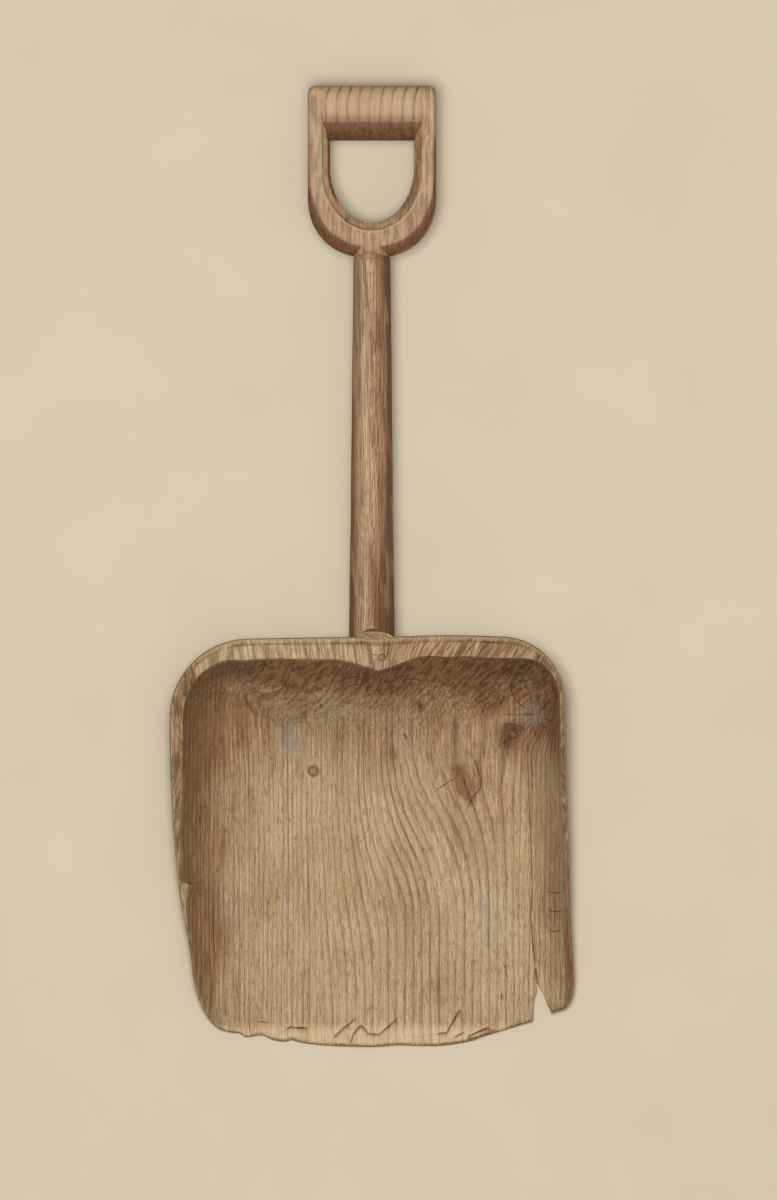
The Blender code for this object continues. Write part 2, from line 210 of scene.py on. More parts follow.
def wood_finish(name, look):
    """Wood cut through its rings, with pores, fibres, tool strokes, blotches, greying, worn spots, painted
    highlights, staining, painted shade and cuts.

    In `look`, colours run from `pale` early wood to `dark` late wood and `deep` pores. `profile` is one
    ring from early to late, `wobble` bends its line, `broken` is how faint the line gets, and `ragged` is how
    far the fibres break up the edge of a dark patch of staining and painted shade. `relief` is the height of
    the grain in metres. The stain colour darkens both real staining and painted shade, and the worn colour
    pales both real wear and painted highlights.
    """
    made = bpy.data.materials.new(name)
    made.use_nodes = True
    tree = made.node_tree
    shader = tree.nodes["Principled BSDF"]
    grain = field(tree, "grain").outputs["Vector"]
    rings = field(tree, "rings").outputs["Fac"]

    # the ring lines: wavy, uneven from year to year, broken here and there, and faint under tool strokes
    wobble = streaks(tree, grain, 170, 16, 2.0, 3.0)
    turned = maths(tree, "ADD", rings, times(tree, wobble, look["wobble"]))
    late = ramp(tree, maths(tree, "FRACT", turned), look["profile"])
    year = add(tree, "ShaderNodeTexWhiteNoise", [("W", maths(tree, "FLOOR", turned))],
               noise_dimensions="1D").outputs["Value"]
    fade = streaks(tree, grain, 70, 10, 2.0, 11.0)
    strength = times(tree, ramp(tree, year, [(0.0, 0.55), (1.0, 1.0)]),
                     ramp(tree, fade, [(0.34, look["broken"]), (0.60, 1.0)]))
    late = times(tree, late, strength)
    hewn = field(tree, "hewn").outputs["Fac"]
    late = times(tree, late, maths(tree, "SUBTRACT", 1.0, times(tree, hewn, 0.75)))

    # what lies along the grain, and what crosses it
    fibre = streaks(tree, grain, 850, 24, 4.0, 5.0)
    fine = ramp(tree, fibre, [(0.36, 0.0), (0.64, 1.0)])
    pores = ramp(tree, streaks(tree, grain, 1300, 110, 2.5, 9.0), [(0.56, 0.0), (0.67, 1.0)])
    pores = times(tree, pores, look["pore"])
    blotch = noise(tree, grain, 11.0, 4.0)
    cuts = times(tree, cut_lines(tree, fibre), look["cut"])
    strokes = streaks(tree, field(tree, "strokes").outputs["Vector"], 340, 75, 2.5, 7.0)
    dark_strokes = times(tree, ramp(tree, strokes, [(0.51, 0.0), (0.59, 1.0)]), hewn)
    pale_strokes = times(tree, ramp(tree, strokes, [(0.37, 1.0), (0.47, 0.0)]), hewn)

    # colour, from the bare wood outwards
    colour = mixed(tree, times(tree, fine, look["fibre"], True), look["pale"], look["mid"])
    colour = mixed(tree, times(tree, late, look["ring"], True), colour, look["dark"])
    colour = mixed(tree, times(tree, pores, 0.75, True), colour, look["deep"])
    colour = mixed(tree, times(tree, dark_strokes, 0.68, True), colour, look["dark"])
    colour = mixed(tree, times(tree, pale_strokes, 0.40, True), colour, look["worn"])
    speck = ramp(tree, noise(tree, grain, 620.0, 3.0), [(0.46, 0.0), (0.62, 1.0)])
    colour = mixed(tree, times(tree, speck, 0.42), colour, look["mid"])
    tint = ramp(tree, blotch, [(0.40, 0.0), (0.64, 1.0)])
    colour = mixed(tree, times(tree, tint, 0.55), colour, look["warm"], "MULTIPLY")
    streaky = ramp(tree, fade, [(0.42, 0.0), (0.60, 1.0)])
    greyed = times(tree, field(tree, "grey").outputs["Fac"], streaky)
    colour = mixed(tree, greyed, colour, look["grey"])
    # paler where worn, and where a painted highlight is laid on the shaft and the grip
    raised = ramp(tree, fibre, [(0.35, 1.0), (0.65, 0.5)])
    wear_and_highlight = times(tree, field(tree, "wear_and_highlight").outputs["Fac"], raised)
    colour = mixed(tree, times(tree, wear_and_highlight, 0.8, True), colour, look["worn"])
    # this multiplies in real staining and painted shade alike: darkened walls, edges, undersides and the
    # slit's bottom
    stain_and_shade = field(tree, "stain_and_shade").outputs["Fac"]
    ragged = maths(tree, "ADD", stain_and_shade, times(tree, maths(tree, "SUBTRACT", fibre, 0.5), look["ragged"]))
    stain_and_shade = times(tree, stain_and_shade, maths(tree, "ADD", 0.45, ragged), True)
    colour = mixed(tree, stain_and_shade, colour, look["stain_and_shade"], "MULTIPLY")
    colour = mixed(tree, cuts, colour, look["deep"])
    tree.links.new(colour, shader.inputs["Base Color"])

    # sheen and relief: late wood is harder and stands proud, pores, strokes and cuts are sunk
    rough = maths(tree, "ADD", look["roughness"], times(tree, blotch, 0.14))
    rough = maths(tree, "SUBTRACT", rough, times(tree, late, 0.10), True)
    tree.links.new(rough, shader.inputs["Roughness"])
    shader.inputs["Specular IOR Level"].default_value = 0.25

    height = maths(tree, "ADD", late, times(tree, fibre, 0.5))
    height = maths(tree, "SUBTRACT", height, times(tree, pores, 0.9))
    height = maths(tree, "SUBTRACT", height, times(tree, dark_strokes, 0.9))
    height = maths(tree, "SUBTRACT", height, times(tree, cuts, 1.4))
    relief = add(tree, "ShaderNodeBump", [("Strength", 1.0), ("Distance", look["relief"]),
                                          ("Height", height)])
    tree.links.new(relief.outputs[0], shader.inputs["Normal"])
    return made


PAN_LOOK = {
    "pale": (0.535, 0.396, 0.230), "mid": (0.315, 0.214, 0.116), "dark": (0.140, 0.082, 0.042),
    "deep": (0.090, 0.048, 0.024), "warm": (0.82, 0.72, 0.61), "grey": (0.34, 0.315, 0.275),
    "stain_and_shade": (0.54, 0.415, 0.325), "worn": (0.67, 0.490, 0.300), "ring": 0.92, "fibre": 0.75, "pore": 0.70,
    "wobble": 0.26, "broken": 0.42, "relief": 0.00036, "roughness": 0.66, "cut": 0.80, "ragged": 2.2,
    "profile": [(0.0, 0.0), (0.46, 0.08), (0.70, 0.36), (0.83, 1.0), (0.91, 0.85), (1.0, 0.0)],
}
HANDLE_LOOK = dict(
    PAN_LOOK, pale=(0.490, 0.322, 0.180), mid=(0.340, 0.205, 0.108), dark=(0.235, 0.125, 0.060),
    worn=(0.66, 0.48, 0.30), stain_and_shade=(0.39, 0.250, 0.185), ring=0.80, fibre=0.26, pore=0.05, ragged=0.7,
    wobble=0.08, broken=0.60, relief=0.00014, roughness=0.52)
GRIP_LOOK = dict(
    HANDLE_LOOK, pale=(0.455, 0.305, 0.168), mid=(0.320, 0.200, 0.106), dark=(0.095, 0.052, 0.027),
    worn=(0.64, 0.47, 0.29), ring=1.0, wobble=0.16, fibre=0.60, pore=0.15,
    profile=[(0.0, 0.22), (0.18, 0.0), (0.66, 0.06), (0.84, 0.95), (0.93, 1.0), (1.0, 0.22)])
FIXING_LOOK = dict(PAN_LOOK, mid=(0.38, 0.262, 0.150), ring=0.5, relief=0.0002)
pan_finish = wood_finish("weathered slab", PAN_LOOK)
handle_finish = wood_finish("shaved shaft", HANDLE_LOOK)
grip_finish = wood_finish("board of the grip", GRIP_LOOK)
fixing_finish = wood_finish("end grain of the fixings", FIXING_LOOK)
print("finishes:", [m.name for m in (pan_finish, handle_finish, grip_finish, fixing_finish)])

# %% [markdown]
# ## The pan's outline
# The slab was hewn by eye. The left side sweeps in towards the lip, the right side is nearly straight, and
# the back has two corners of different radius. The lip was once a fair curve: years of scraping along a
# barn floor have chipped and worn it into a wavy edge.
#
# One closed curve would do for the shape. Here it is split at four places into a lip, a back and two
# sides, with as many points on each as on the one it faces, so that the floor between them can later be
# an even grid of four-sided faces.

# %% Rim line, in four stretches that meet at the corners
LEFT_CORNER = (-0.1160, -0.1435, 0.0760)  # centre x and y, radius
RIGHT_CORNER = (0.1220, -0.1265, 0.0610)
LEFT_SIDE = [(-0.192, -0.160), (-0.191, -0.202), (-0.188, -0.259), (-0.182, -0.317),
             (-0.175, -0.354), (-0.170, -0.392)]
LIP = [(-0.165, -0.411), (-0.158, -0.426), (-0.148, -0.438), (-0.137, -0.4425), (-0.126, -0.444),
       (-0.120, -0.4475), (-0.105, -0.446), (-0.094, -0.4505), (-0.083, -0.452), (-0.077, -0.4505),
       (-0.064, -0.4535), (-0.038, -0.456), (0.000, LIP_Y), (0.025, -0.4555), (0.048, -0.456),
       (0.070, -0.4555), (0.094, -0.4515), (0.105, -0.4475), (0.126, -0.441), (0.142, -0.4355),
       (0.153, -0.432), (0.170, -0.4245), (0.1775, -0.4215), (0.183, -0.420), (0.189, -0.412)]
RIGHT_SIDE = [(0.192, -0.398), (0.191, -0.370), (0.189, -0.335), (0.188, -0.300), (0.187, -0.260),
              (0.185, -0.220), (0.184, -0.180), (0.1835, -0.150)]
BACK = [(0.1220, BACK_Y), (0.075, BACK_Y + 0.0012), (0.020, BACK_Y), (-0.060, BACK_Y - 0.0010),
        (-0.1160, -0.0675)]
SPLITS = [(-0.158, -0.427), (0.186, -0.416), (0.1665, -0.0850), (-0.1700, -0.0910)]  # where the four meet
ACROSS, ALONG = 178, 150  # points along the lip and back, and along each side
ARC_POINTS = 90


def smooth_line(points, step=0.001):
    """A Catmull-Rom line through the points, without its last one."""
    padded = np.array([points[0], *points, points[-1]])
    made = []
    for p, a, b, q in zip(padded, padded[1:], padded[2:], padded[3:], strict=False):
        t = np.linspace(0, 1, max(2, int(np.hypot(*(b - a)) / step)), endpoint=False)[:, None]
        made.append(0.5 * (2 * a + (b - p) * t + (2 * p - 5 * a + 4 * b - q) * t**2
                           + (3 * a - p - 3 * b + q) * t**3))
    return np.concatenate(made)


def arc(x, y, radius, start, end):
    """Part of a circle, without its last point."""
    a = np.linspace(start, end, ARC_POINTS, endpoint=False)
    return np.stack([x + radius * np.cos(a), y + radius * np.sin(a)], 1)


def resample(line, count):
    """Evenly spaced points from the line's start up to, not including, its end."""
    steps = np.hypot(*np.diff(line, axis=0).T)
    run = np.concatenate([[0], np.cumsum(steps)])
    wanted = np.linspace(0, run[-1], count, endpoint=False)
    return np.stack([np.interp(wanted, run, line[:, i]) for i in range(2)], 1)


def rim_stretches():
    """The lip, right side, back and left side, anticlockwise, each without its last point."""
    line = np.concatenate([smooth_line(LEFT_SIDE + LIP + RIGHT_SIDE), arc(*RIGHT_CORNER, 0, pi / 2),
                           smooth_line(BACK), arc(*LEFT_CORNER, pi / 2, pi)])
    starts = [int(np.argmin(np.hypot(*(line - c).T))) for c in SPLITS]
    line = np.roll(line, -starts[0], axis=0)
    starts = [(s - starts[0]) % len(line) for s in starts] + [len(line)]
    line = np.concatenate([line, line[:1]])
    counts = (ACROSS, ALONG, ACROSS, ALONG)
    return [resample(line[a:b + 1], n) for a, b, n in zip(starts, starts[1:], counts, strict=False)]


rim = np.concatenate(rim_stretches())
print("rim stations:", len(rim))

# %% [markdown]
# ## The pan's wall and hollow
# A wall section starts on the flat underside, rounds up the outside, crosses the flat rim and falls inside
# as a quarter ellipse, the shape a long-bent adze leaves. The section changes as it goes round: thick and
# steep at the back, where the shaft is let in, thin on the right, worn away to nothing at the lip. Inside
# the back wall the rim swells to a point, a boss left standing to hold the shaft's tenon.
#
# A block could be carved out with booleans, or sculpted. Rows of sections are used instead, because they
# keep every width and slope as a number, and their points say where on the wall they lie: `zone` is -1
# outside, 0 to 1 across the rim, 1 to 2 down the inside, and 3 on the floor.

# %% Wall sections round the rim, closed by a floor and an underside
CORE_LIP_Y, CORE_BACK_Y = -0.400, -0.135
LIP_THICKNESS, FLOOR_AT_LIP, FLOOR_AT_BACK = 0.0055, 0.0055, 0.013
RIM_BACK, RIM_RIGHT = 0.0205, 0.0048
RIM_LEFT = [(-0.430, 0.0013), (-0.350, 0.0018), (-0.320, 0.0030), (-0.255, 0.0058), (-0.205, 0.0112),
            (-0.150, 0.0128)]
CHIP_Y, CHIP_LENGTH, CHIP_WIDTH = -0.2985, 0.034, 0.0066  # a lost flake leaves the left rim wider here
FLARE_LEFT, FLARE_RIGHT, FLARE_BACK = radians(17), radians(8), radians(3)
RUN_LEFT, RUN_RIGHT, RUN_CORNER, RUN_BACK = 0.046, 0.030, 0.040, 0.072
BOSS_X, BOSS_DEPTH, BOSS_HALF_WIDTH = 0.0065, 0.0118, 0.042
BASE_ROWS, OUTER_ROWS, RIM_ROWS, INNER_ROWS = 6, 8, 8, 30


def inward(x, y):
    """The direction across the wall, towards the middle of the pan."""
    dx = np.clip(x, LEFT_CORNER[0], RIGHT_CORNER[0]) - x
    dy = np.clip(y, CORE_LIP_Y, CORE_BACK_Y) - y
    size = np.hypot(dx, dy)
    return dx / size, dy / size


def floor_height(y):
    """The floor rises a little from the lip to the back."""
    return FLOOR_AT_LIP + (FLOOR_AT_BACK - FLOOR_AT_LIP) * (y - LIP_Y) / (CORE_BACK_Y - LIP_Y)


def by_side(dx, dy, left, right, back):
    """A value for each side of the pan, blended round the two back corners."""
    side = np.where(dx > 0, left, right)
    return np.where(dy <= 0, back + (side - back) * ease(np.abs(dx)), side)


def wall_rows(x, y):
    """Rows of (inset, height) across the wall at every station, from the underside to the floor."""
    dx, dy = inward(x, y)
    share = np.clip((y - LIP_Y) / (BACK_Y - LIP_Y), 0, 1)
    wall = LIP_THICKNESS + (PAN_HEIGHT - LIP_THICKNESS) * share**0.72
    edge = np.maximum(LIP_THICKNESS, floor_height(y))
    height = np.where(y > CORE_LIP_Y, wall, edge + (wall - edge) * np.abs(dx)**1.5)
    wavy = mottle(x + y, x - y, 0.030, 0.030, 5) * 0.0007 + mottle(x + y, x - y, 0.009, 0.009, 6) * 0.0003
    height = height + wavy * ease(share * 8)
    base = np.minimum(by_side(dx, dy, 0.016, 0.016, 0.009), 0.35 * height)
    flare = np.tan(by_side(dx, dy, FLARE_LEFT, FLARE_RIGHT, FLARE_BACK)) * (height - base)
    thin = 0.55 + 0.45 * ease((y - LIP_Y) / (CORE_BACK_Y - LIP_Y))
    left = np.interp(y, *np.array(RIM_LEFT).T)
    boss = BOSS_DEPTH * np.clip(1 - np.abs(x - BOSS_X) / BOSS_HALF_WIDTH, 0, 1)**1.25 * (y > CORE_BACK_Y)
    chip = CHIP_WIDTH * (x < -0.150) * ease((CHIP_Y - y) / 0.0035) * (1 - ease((CHIP_Y - y) / CHIP_LENGTH))
    proud = boss + chip
    width = by_side(dx, dy, left, RIM_RIGHT * thin, RIM_BACK)
    width = width * (1 + 0.05 * mottle(x, y, 0.018, 0.018, 8)) + proud
    chamfer = np.minimum(np.minimum(0.004, 0.3 * height), 0.4 * width)
    inner = np.clip(np.minimum(0.0018, 0.3 * width), 0, 0.4 * (height - floor_height(y)).clip(0))
    depth = np.maximum(0, height - inner - floor_height(y)) / (PAN_HEIGHT - FLOOR_AT_BACK)
    along = np.clip((x - LEFT_CORNER[0]) / (RIGHT_CORNER[0] - LEFT_CORNER[0]), 0, 1)
    back_run = RUN_CORNER + (RUN_BACK - RUN_CORNER) * np.sin(pi * along)**0.6
    run = 0.012 + by_side(dx, dy, RUN_LEFT, RUN_RIGHT, back_run) * depth**0.6

    rows = []
    for k in range(BASE_ROWS + 1):
        turn = pi / 2 * k / BASE_ROWS
        rows.append((flare + base * (1 - sin(turn)), base * (1 - cos(turn))))
    for k in range(1, OUTER_ROWS + 1):
        t = k / OUTER_ROWS
        rows.append((flare * (1 - t)**1.5, base + t * (height - chamfer - base)))
    rows.append((0.3 * chamfer, height - 0.3 * chamfer))
    for k in range(RIM_ROWS + 1):
        t = k / RIM_ROWS
        crown = 0.0004 * sin(pi * t) * ease(share * 6)
        rows.append((chamfer + t * (width - inner - chamfer), height + crown))
    rows.append((width - 0.3 * inner, height - 0.35 * inner))
    for k in range(INNER_ROWS + 1):
        turn = pi / 2 * k / INNER_ROWS
        inset = width - proud * sin(turn) + run * (0.45 * sin(turn) + 0.55 * (1 - cos(turn)))
        rows.append((inset, ("floor", 1 - sin(turn), height - inner)))
    points = []
    for inset, z in rows:
        px, py = x + dx * inset, y + dy * inset
        if isinstance(z, tuple):
            floor = floor_height(py)
            z = floor + np.maximum(0, z[2] - floor) * z[1]
        points.append(np.stack([px, py, z + 0 * px], 1))
    return np.array(points)


def patch(loop, height):
    """Fills a closed loop of stations with an even grid. Returns its points and each grid place's index."""
    n = len(loop)
    lip = loop[:ACROSS + 1]
    right = loop[ACROSS:ACROSS + ALONG + 1]
    back = loop[ACROSS + ALONG:2 * ACROSS + ALONG + 1][::-1]
    left = np.concatenate([loop[2 * ACROSS + ALONG:], loop[:1]])[::-1]
    u = np.linspace(0, 1, ACROSS + 1)[:, None, None]
    v = np.linspace(0, 1, ALONG + 1)[None, :, None]
    flat = ((1 - v) * lip[:, None] + v * back[:, None] + (1 - u) * left[None] + u * right[None]
            - (1 - u) * (1 - v) * lip[0] - u * (1 - v) * lip[-1] - (1 - u) * v * back[0] - u * v * back[-1])
    index = -np.ones((ACROSS + 1, ALONG + 1), int)
    index[:, 0] = np.arange(ACROSS + 1)
    index[-1, :] = ACROSS + np.arange(ALONG + 1)
    index[:, -1] = (2 * ACROSS + ALONG - np.arange(ACROSS + 1)) % n
    index[0, :] = (n - np.arange(ALONG + 1)) % n
    inside = flat[1:-1, 1:-1].reshape(-1, 3)
    inside[:, 2] = height(inside[:, 1])
    index[1:-1, 1:-1] = n + np.arange(len(inside)).reshape(ACROSS - 1, ALONG - 1)
    return inside, index


def grid_faces(index):
    """Four-sided faces between the places of a grid."""
    return np.stack([index[:-1, :-1], index[1:, :-1], index[1:, 1:], index[:-1, 1:]], -1).reshape(-1, 4)


def pan_shape():
    """The closed pan, with `zone` on its points."""
    rows = wall_rows(*rim.T)
    n = len(rim)
    outside = BASE_ROWS + 1 + OUTER_ROWS
    zone = np.concatenate([[-1.0] * outside, np.linspace(0, 1, RIM_ROWS + 3),
                           np.linspace(1, 2, INNER_ROWS + 1)])
    walls = rows.reshape(-1, 3)
    around = np.arange(n)
    faces = []
    for k in range(len(rows) - 1):
        a, b = around + k * n, np.roll(around, -1) + k * n
        faces.append(np.stack([a, b, b + n, a + n], 1))
    under, under_index = patch(rows[0], lambda y: 0 * y)
    floor, floor_index = patch(rows[-1], floor_height)
    under_index = np.where(under_index < n, under_index, under_index - n + len(walls))
    floor_index = np.where(floor_index < n, floor_index + (len(rows) - 1) * n,
                           floor_index - n + len(walls) + len(under))
    faces += [grid_faces(under_index)[:, ::-1], grid_faces(floor_index)]
    made = make_mesh("pan", np.concatenate([walls, under, floor]), np.concatenate(faces))
    zone = np.concatenate([np.repeat(zone, n), np.full(len(under), -1.0), np.full(len(floor), 3.0)])
    store(made, "zone", zone)
    return made


pan = pan_shape()
print("pan:", len(pan.data.vertices), "points")

# %% [markdown]
# ## The tear
# A long check has opened along the foot of the right wall, where the slab is thinnest and the grain runs
# straight out through the lip. At the front it has let a splinter go and left a V-shaped notch. A boolean
# cuts it, so the even grid of the wall needn't be bent to follow it. The same cell adds the low tongue of
# wood that laps over the shaft's end, and drills the holes for the peg and for a plug in the floor.

# %% Add the tongue, and cut the tear and the holes
GAP = 0.0003  # left round each let-in piece
LAP_Y, LAP_Z = BACK_Y + 0.0060, AXIS_Z + 0.0184  # the shaft's end is cut flat here, to take the tongue
TONGUE_TOP = 0.0950
ABOVE, BELOW = 0.12, -0.01  # clear of the pan, for a cut that goes right through
PEG, PEG_RADIUS, PEG_FOOT = (0.0095, -0.0855), 0.0033, 0.0500
PLUG, PLUG_RADIUS, PLUG_HOLE_TOP = (-0.0560, -0.1940), 0.0048, 0.03
TEAR = [  # x, y and width
    (0.1526, -0.3500, 0.0003), (0.1541, -0.3610, 0.0005), (0.1556, -0.3730, 0.0007),
    (0.1560, -0.3840, 0.0008), (0.1570, -0.3960, 0.0009), (0.1592, -0.4040, 0.0040),
    (0.1606, -0.4100, 0.0100), (0.1606, -0.4170, 0.0135), (0.1622, -0.4240, 0.0172),
    (0.1640, -0.4700, 0.0260)]


def tear_outline():
    """The tear from above: a hairline at its upper end, a ragged V at the lip."""
    tear = np.array(TEAR)
    y = np.linspace(tear[0, 1], tear[-1, 1], 110)
    x = np.interp(y, tear[::-1, 1], tear[::-1, 0])
    half = np.interp(y, tear[::-1, 1], tear[::-1, 2]) / 2
    ragged = ease((y[0] - y) / 0.03)
    left = x - half + ragged * 0.0005 * mottle(y, 0 * y, 0.004, 1, 31)
    right = x + half + ragged * 0.0006 * mottle(y, 0 * y, 0.005, 1, 32)
    return np.concatenate([np.stack([left, y], 1), np.stack([right, y], 1)[::-1]])


def prism(name, outline, low, high):
    """A solid with an upright wall over an anticlockwise outline."""
    n = len(outline)
    points = [(x, y, z) for z in (low, high) for x, y in outline]
    sides = [(i, (i + 1) % n, n + (i + 1) % n, n + i) for i in range(n)]
    return make_mesh(name, points, [tuple(range(n))[::-1], tuple(range(n, 2 * n)), *sides])


def cut(obj, tool, operation="DIFFERENCE"):
    """Takes the tool away from the object, or adds it, and removes the tool."""
    step = obj.modifiers.new("cut", "BOOLEAN")
    step.object, step.operation, step.solver = tool, operation, "EXACT"
    apply_modifiers(obj)
    bpy.data.objects.remove(tool)


def disc(x, y, radius):
    """The outline of a round hole."""
    a = np.linspace(0, 2 * pi, 48, endpoint=False)
    return np.stack([x + radius * np.cos(a), y + radius * np.sin(a)], 1)


TONGUE = [(-0.0155, -0.0690), (-0.0140, -0.0655), (-0.0105, -0.0622), (-0.0040, -0.0612),
          (0.0040, -0.0611), (0.0115, -0.0617), (0.0175, -0.0640), (0.0245, -0.0690)]
tongue_line = np.array([(-0.0155, -0.0745), *smooth_line(TONGUE, 0.0008), (0.0245, -0.0745)])[::-1]
tongue = prism("tongue", tongue_line, LAP_Z + 2 * GAP, TONGUE_TOP)
store(tongue, "zone", np.full(len(tongue.data.vertices), 0.3))
cut(pan, tongue, "UNION")
cut(pan, prism("tear", tear_outline(), BELOW, ABOVE))
cut(pan, prism("peg hole", disc(*PEG, PEG_RADIUS + GAP), PEG_FOOT - GAP, ABOVE))
cut(pan, prism("plug hole", disc(*PLUG, PLUG_RADIUS + GAP), BELOW, PLUG_HOLE_TOP))
print("pan after the cuts:", len(pan.data.vertices), "points")

# %% [markdown]
# ## Cracks, cuts and bites
# Grooves in the mesh would need a grid as fine as the finest crack. Instead the points near a mark keep
# their signed distance to it and its width. Both change evenly between points, so a crack far thinner than
# the mesh still draws as a clean line, and the finish darkens and sinks it. A scratch is a straight cut. A
# bite is the crescent that the corner of a gouge leaves. Sizes here are in millimetres.

# %% Where the marks are
# along the foot of the right wall, and a short check that follows the swirl
SPLIT = [(149.5, -168), (148, -180), (150, -228), (151, -250), (153, -305), (151.5, -332), (152.6, -352),
         (155.6, -378), (158, -402)]
CHECK = [(96.9, -183), (103.6, -200), (103.6, -210), (94.0, -222), (91.2, -230)]
RIM_CUTS = [  # one end's x and y, the other's, and the width
    (64.2, -70.0, 58.0, -78.0, 1.0), (58.0, -78.0, 51.5, -88.5, 1.3), (76.0, -71.0, 70.5, -79.0, 0.7),
    (87.0, -71.5, 80.0, -87.0, 0.9), (97.0, -72.0, 88.5, -82.0, 1.0), (111.5, -71.0, 103.0, -79.5, 1.2),
    (103.0, -79.5, 99.5, -85.5, 1.3), (102.0, -70.5, 121.0, -71.5, 0.8), (128.0, -75.0, 121.0, -82.0, 0.6),
    (44.0, -72.0, 38.0, -79.0, 0.5)]
BOSS_CUTS = [(-12.8, -71.5, -4.5, -71.2, 0.8), (12.5, -72.0, 18.0, -73.5, 0.8),
             (-0.5, -82.0, 3.2, -83.4, 0.7), (-5.0, -77.0, -1.0, -79.5, 0.4), (14.0, -79.0, 18.0, -84.0, 0.4)]
LIP_CUTS = [
    (-80.5, -440.0, -77.5, -438.0, 1.6), (-72.5, -439.5, -63.0, -438.8, 1.3),
    (-36.0, -448.4, -29.0, -441.0, 1.2), (-29.0, -441.0, -15.7, -430.8, 1.3),
    (-20.9, -455.0, -18.0, -445.6, 1.2), (-18.0, -445.6, -10.5, -436.0, 1.2),
    (-10.5, -436.0, -4.0, -444.0, 0.9), (-4.0, -444.0, 7.0, -445.4, 0.8),
    (7.0, -445.4, 24.7, -429.4, 1.0), (62.0, -445.0, 72.0, -443.6, 1.3),
    (72.0, -443.6, 75.0, -437.0, 1.1), (75.0, -437.0, 83.8, -421.5, 1.4),
    (78.0, -449.0, 88.0, -443.0, 1.2), (96.0, -446.0, 110.0, -438.5, 1.2),
    (-117.8, -430.0, -116.5, -444.0, 0.6), (-107.0, -433.0, -100.0, -433.8, 0.8),
    (126.4, -379.5, 129.5, -384.0, 0.9), (127.0, -385.0, 129.0, -391.0, 0.8),
    (130.3, -378.0, 130.6, -381.5, 0.7), (123.3, -406.0, 123.6, -412.5, 1.4)]
KNOT_CUTS = [(158.0, -139.0, 170.0, -124.0, 0.9), (158.0, -147.0, 167.0, -154.0, 0.8),
             (152.0, -150.0, 156.0, -161.0, 0.8), (145.0, -149.0, 140.0, -159.0, 0.8),
             (161.0, -143.0, 171.0, -146.0, 0.7), (125.0, -168.0, 131.0, -163.5, 1.8)]
HOLLOW_CUTS = [(9.5, -111.5, 31.0, -100.5, 0.7), (14.0, -112.5, 26.0, -106.0, 0.5),
               (61.8, -212.0, 77.4, -201.4, 0.7), (-144.4, -219.0, -143.6, -220.2, 0.9),
               (45.0, -128.5, 46.5, -135.0, 3.6), (-49.5, -130.5, -47.5, -134.0, 2.0),
               (31.0, -158.0, 33.0, -164.0, 2.0)]
BITES = [  # centre x and y, radius, direction it faces, half its angle, width
    (-17.0, -126.0, 21.5, 88.0, 50.0, 1.0), (-15.0, -126.0, 14.5, 95.0, 30.0, 0.7),
    (38.0, -127.0, 21.0, 87.0, 34.0, 0.9), (9.5, -85.5, 3.6, 20.0, 80.0, 0.5),
    (134.0, -159.0, 3.4, 0.0, 180.0, 0.8), (134.0, -164.0, 10.5, 90.0, 58.0, 1.1),
    (134.0, -153.5, 9.5, 270.0, 52.0, 0.8), (132.0, -167.0, 18.0, 78.0, 38.0, 1.0),
    (154.8, -113.4, 22.0, 209.0, 48.0, 0.8), (129.2, -127.6, 22.0, 29.0, 48.0, 0.7),
    (174.0, -301.0, 9.0, 270.0, 48.0, 0.6), (174.0, -319.0, 9.0, 270.0, 50.0, 0.6),
    (174.0, -338.0, 9.0, 270.0, 44.0, 0.6)]
NO_MARK, FAR = -1.0, 9.0  # the width and the distance where there is no mark


def chain(points, width):
    """Cuts that join up, one from each point to the next."""
    return [(*a, *b, width) for a, b in zip(points, points[1:], strict=False)]


SCRATCHES = [*chain(SPLIT[:5], 0.8), *chain(SPLIT[4:], 1.2), *chain(CHECK, 0.8), *RIM_CUTS, *BOSS_CUTS,
             *LIP_CUTS, *KNOT_CUTS, *HOLLOW_CUTS]


def mark_fields(x, y, scratches, bites=()):
    """The signed distance to the nearest mark and that mark's width, both in millimetres."""
    x, y = x / MM, y / MM
    nearest, side, width = (np.full(len(x), start) for start in (1e3, FAR, NO_MARK))

    def keep(distance, signed, wide):
        closer = distance < nearest
        nearest[closer], side[closer], width[closer] = distance[closer], signed[closer], wide[closer]

    for x0, y0, x1, y1, wide in scratches:
        length = np.hypot(x1 - x0, y1 - y0)
        ux, uy = (x1 - x0) / length, (y1 - y0) / length
        along = (x - x0) * ux + (y - y0) * uy
        signed = (y - y0) * ux - (x - x0) * uy
        past = np.maximum(np.maximum(-along, along - length), 0)
        taper = 0.35 + 0.65 * np.sin(pi * (along / length).clip(0, 1))**0.7
        keep(np.hypot(signed, past), signed, wide * taper - 0.8 * past)
    for cx, cy, radius, facing, half_angle, wide in bites:
        signed = np.hypot(x - cx, y - cy) - radius
        turn = np.abs((np.degrees(np.arctan2(y - cy, x - cx)) - facing + 180) % 360 - 180)
        beyond = 0.4 * radius * radians(1) * (turn - half_angle).clip(0, None)
        taper = ease((half_angle - turn) / half_angle * 2.5) if half_angle < 180 else 1 + 0 * x
        keep(np.abs(signed) + beyond, signed, wide * taper)
    width = width - (nearest - 2.4).clip(0, None)
    return side, width


print("marks:", len(SCRATCHES), "cuts and", len(BITES), "bites")

# %% [markdown]
# ## How the slab's rings run
# The slab was cut to one side of the heart, so its rings meet the floor as long lines. They run close and
# straight on the left and open out to the right of the middle, where they swing round a branch. The branch
# left a knot in the back right corner, and the rings bunch up under it. Random noise would not run like
# this, so the lines are laid out by rule: straight shells, then a sweep, then a turn about the knot.

# %% Ring and grain fields of the pan
KNOT, KNOT_REACH, KNOT_LINES = (0.153, -0.140), 0.034, 14
EYE, EYE_REACH, EYE_RING = (0.134, -0.159), 0.011, 0.0024
RIM_RING = 0.0042  # between the lines that cross the rim


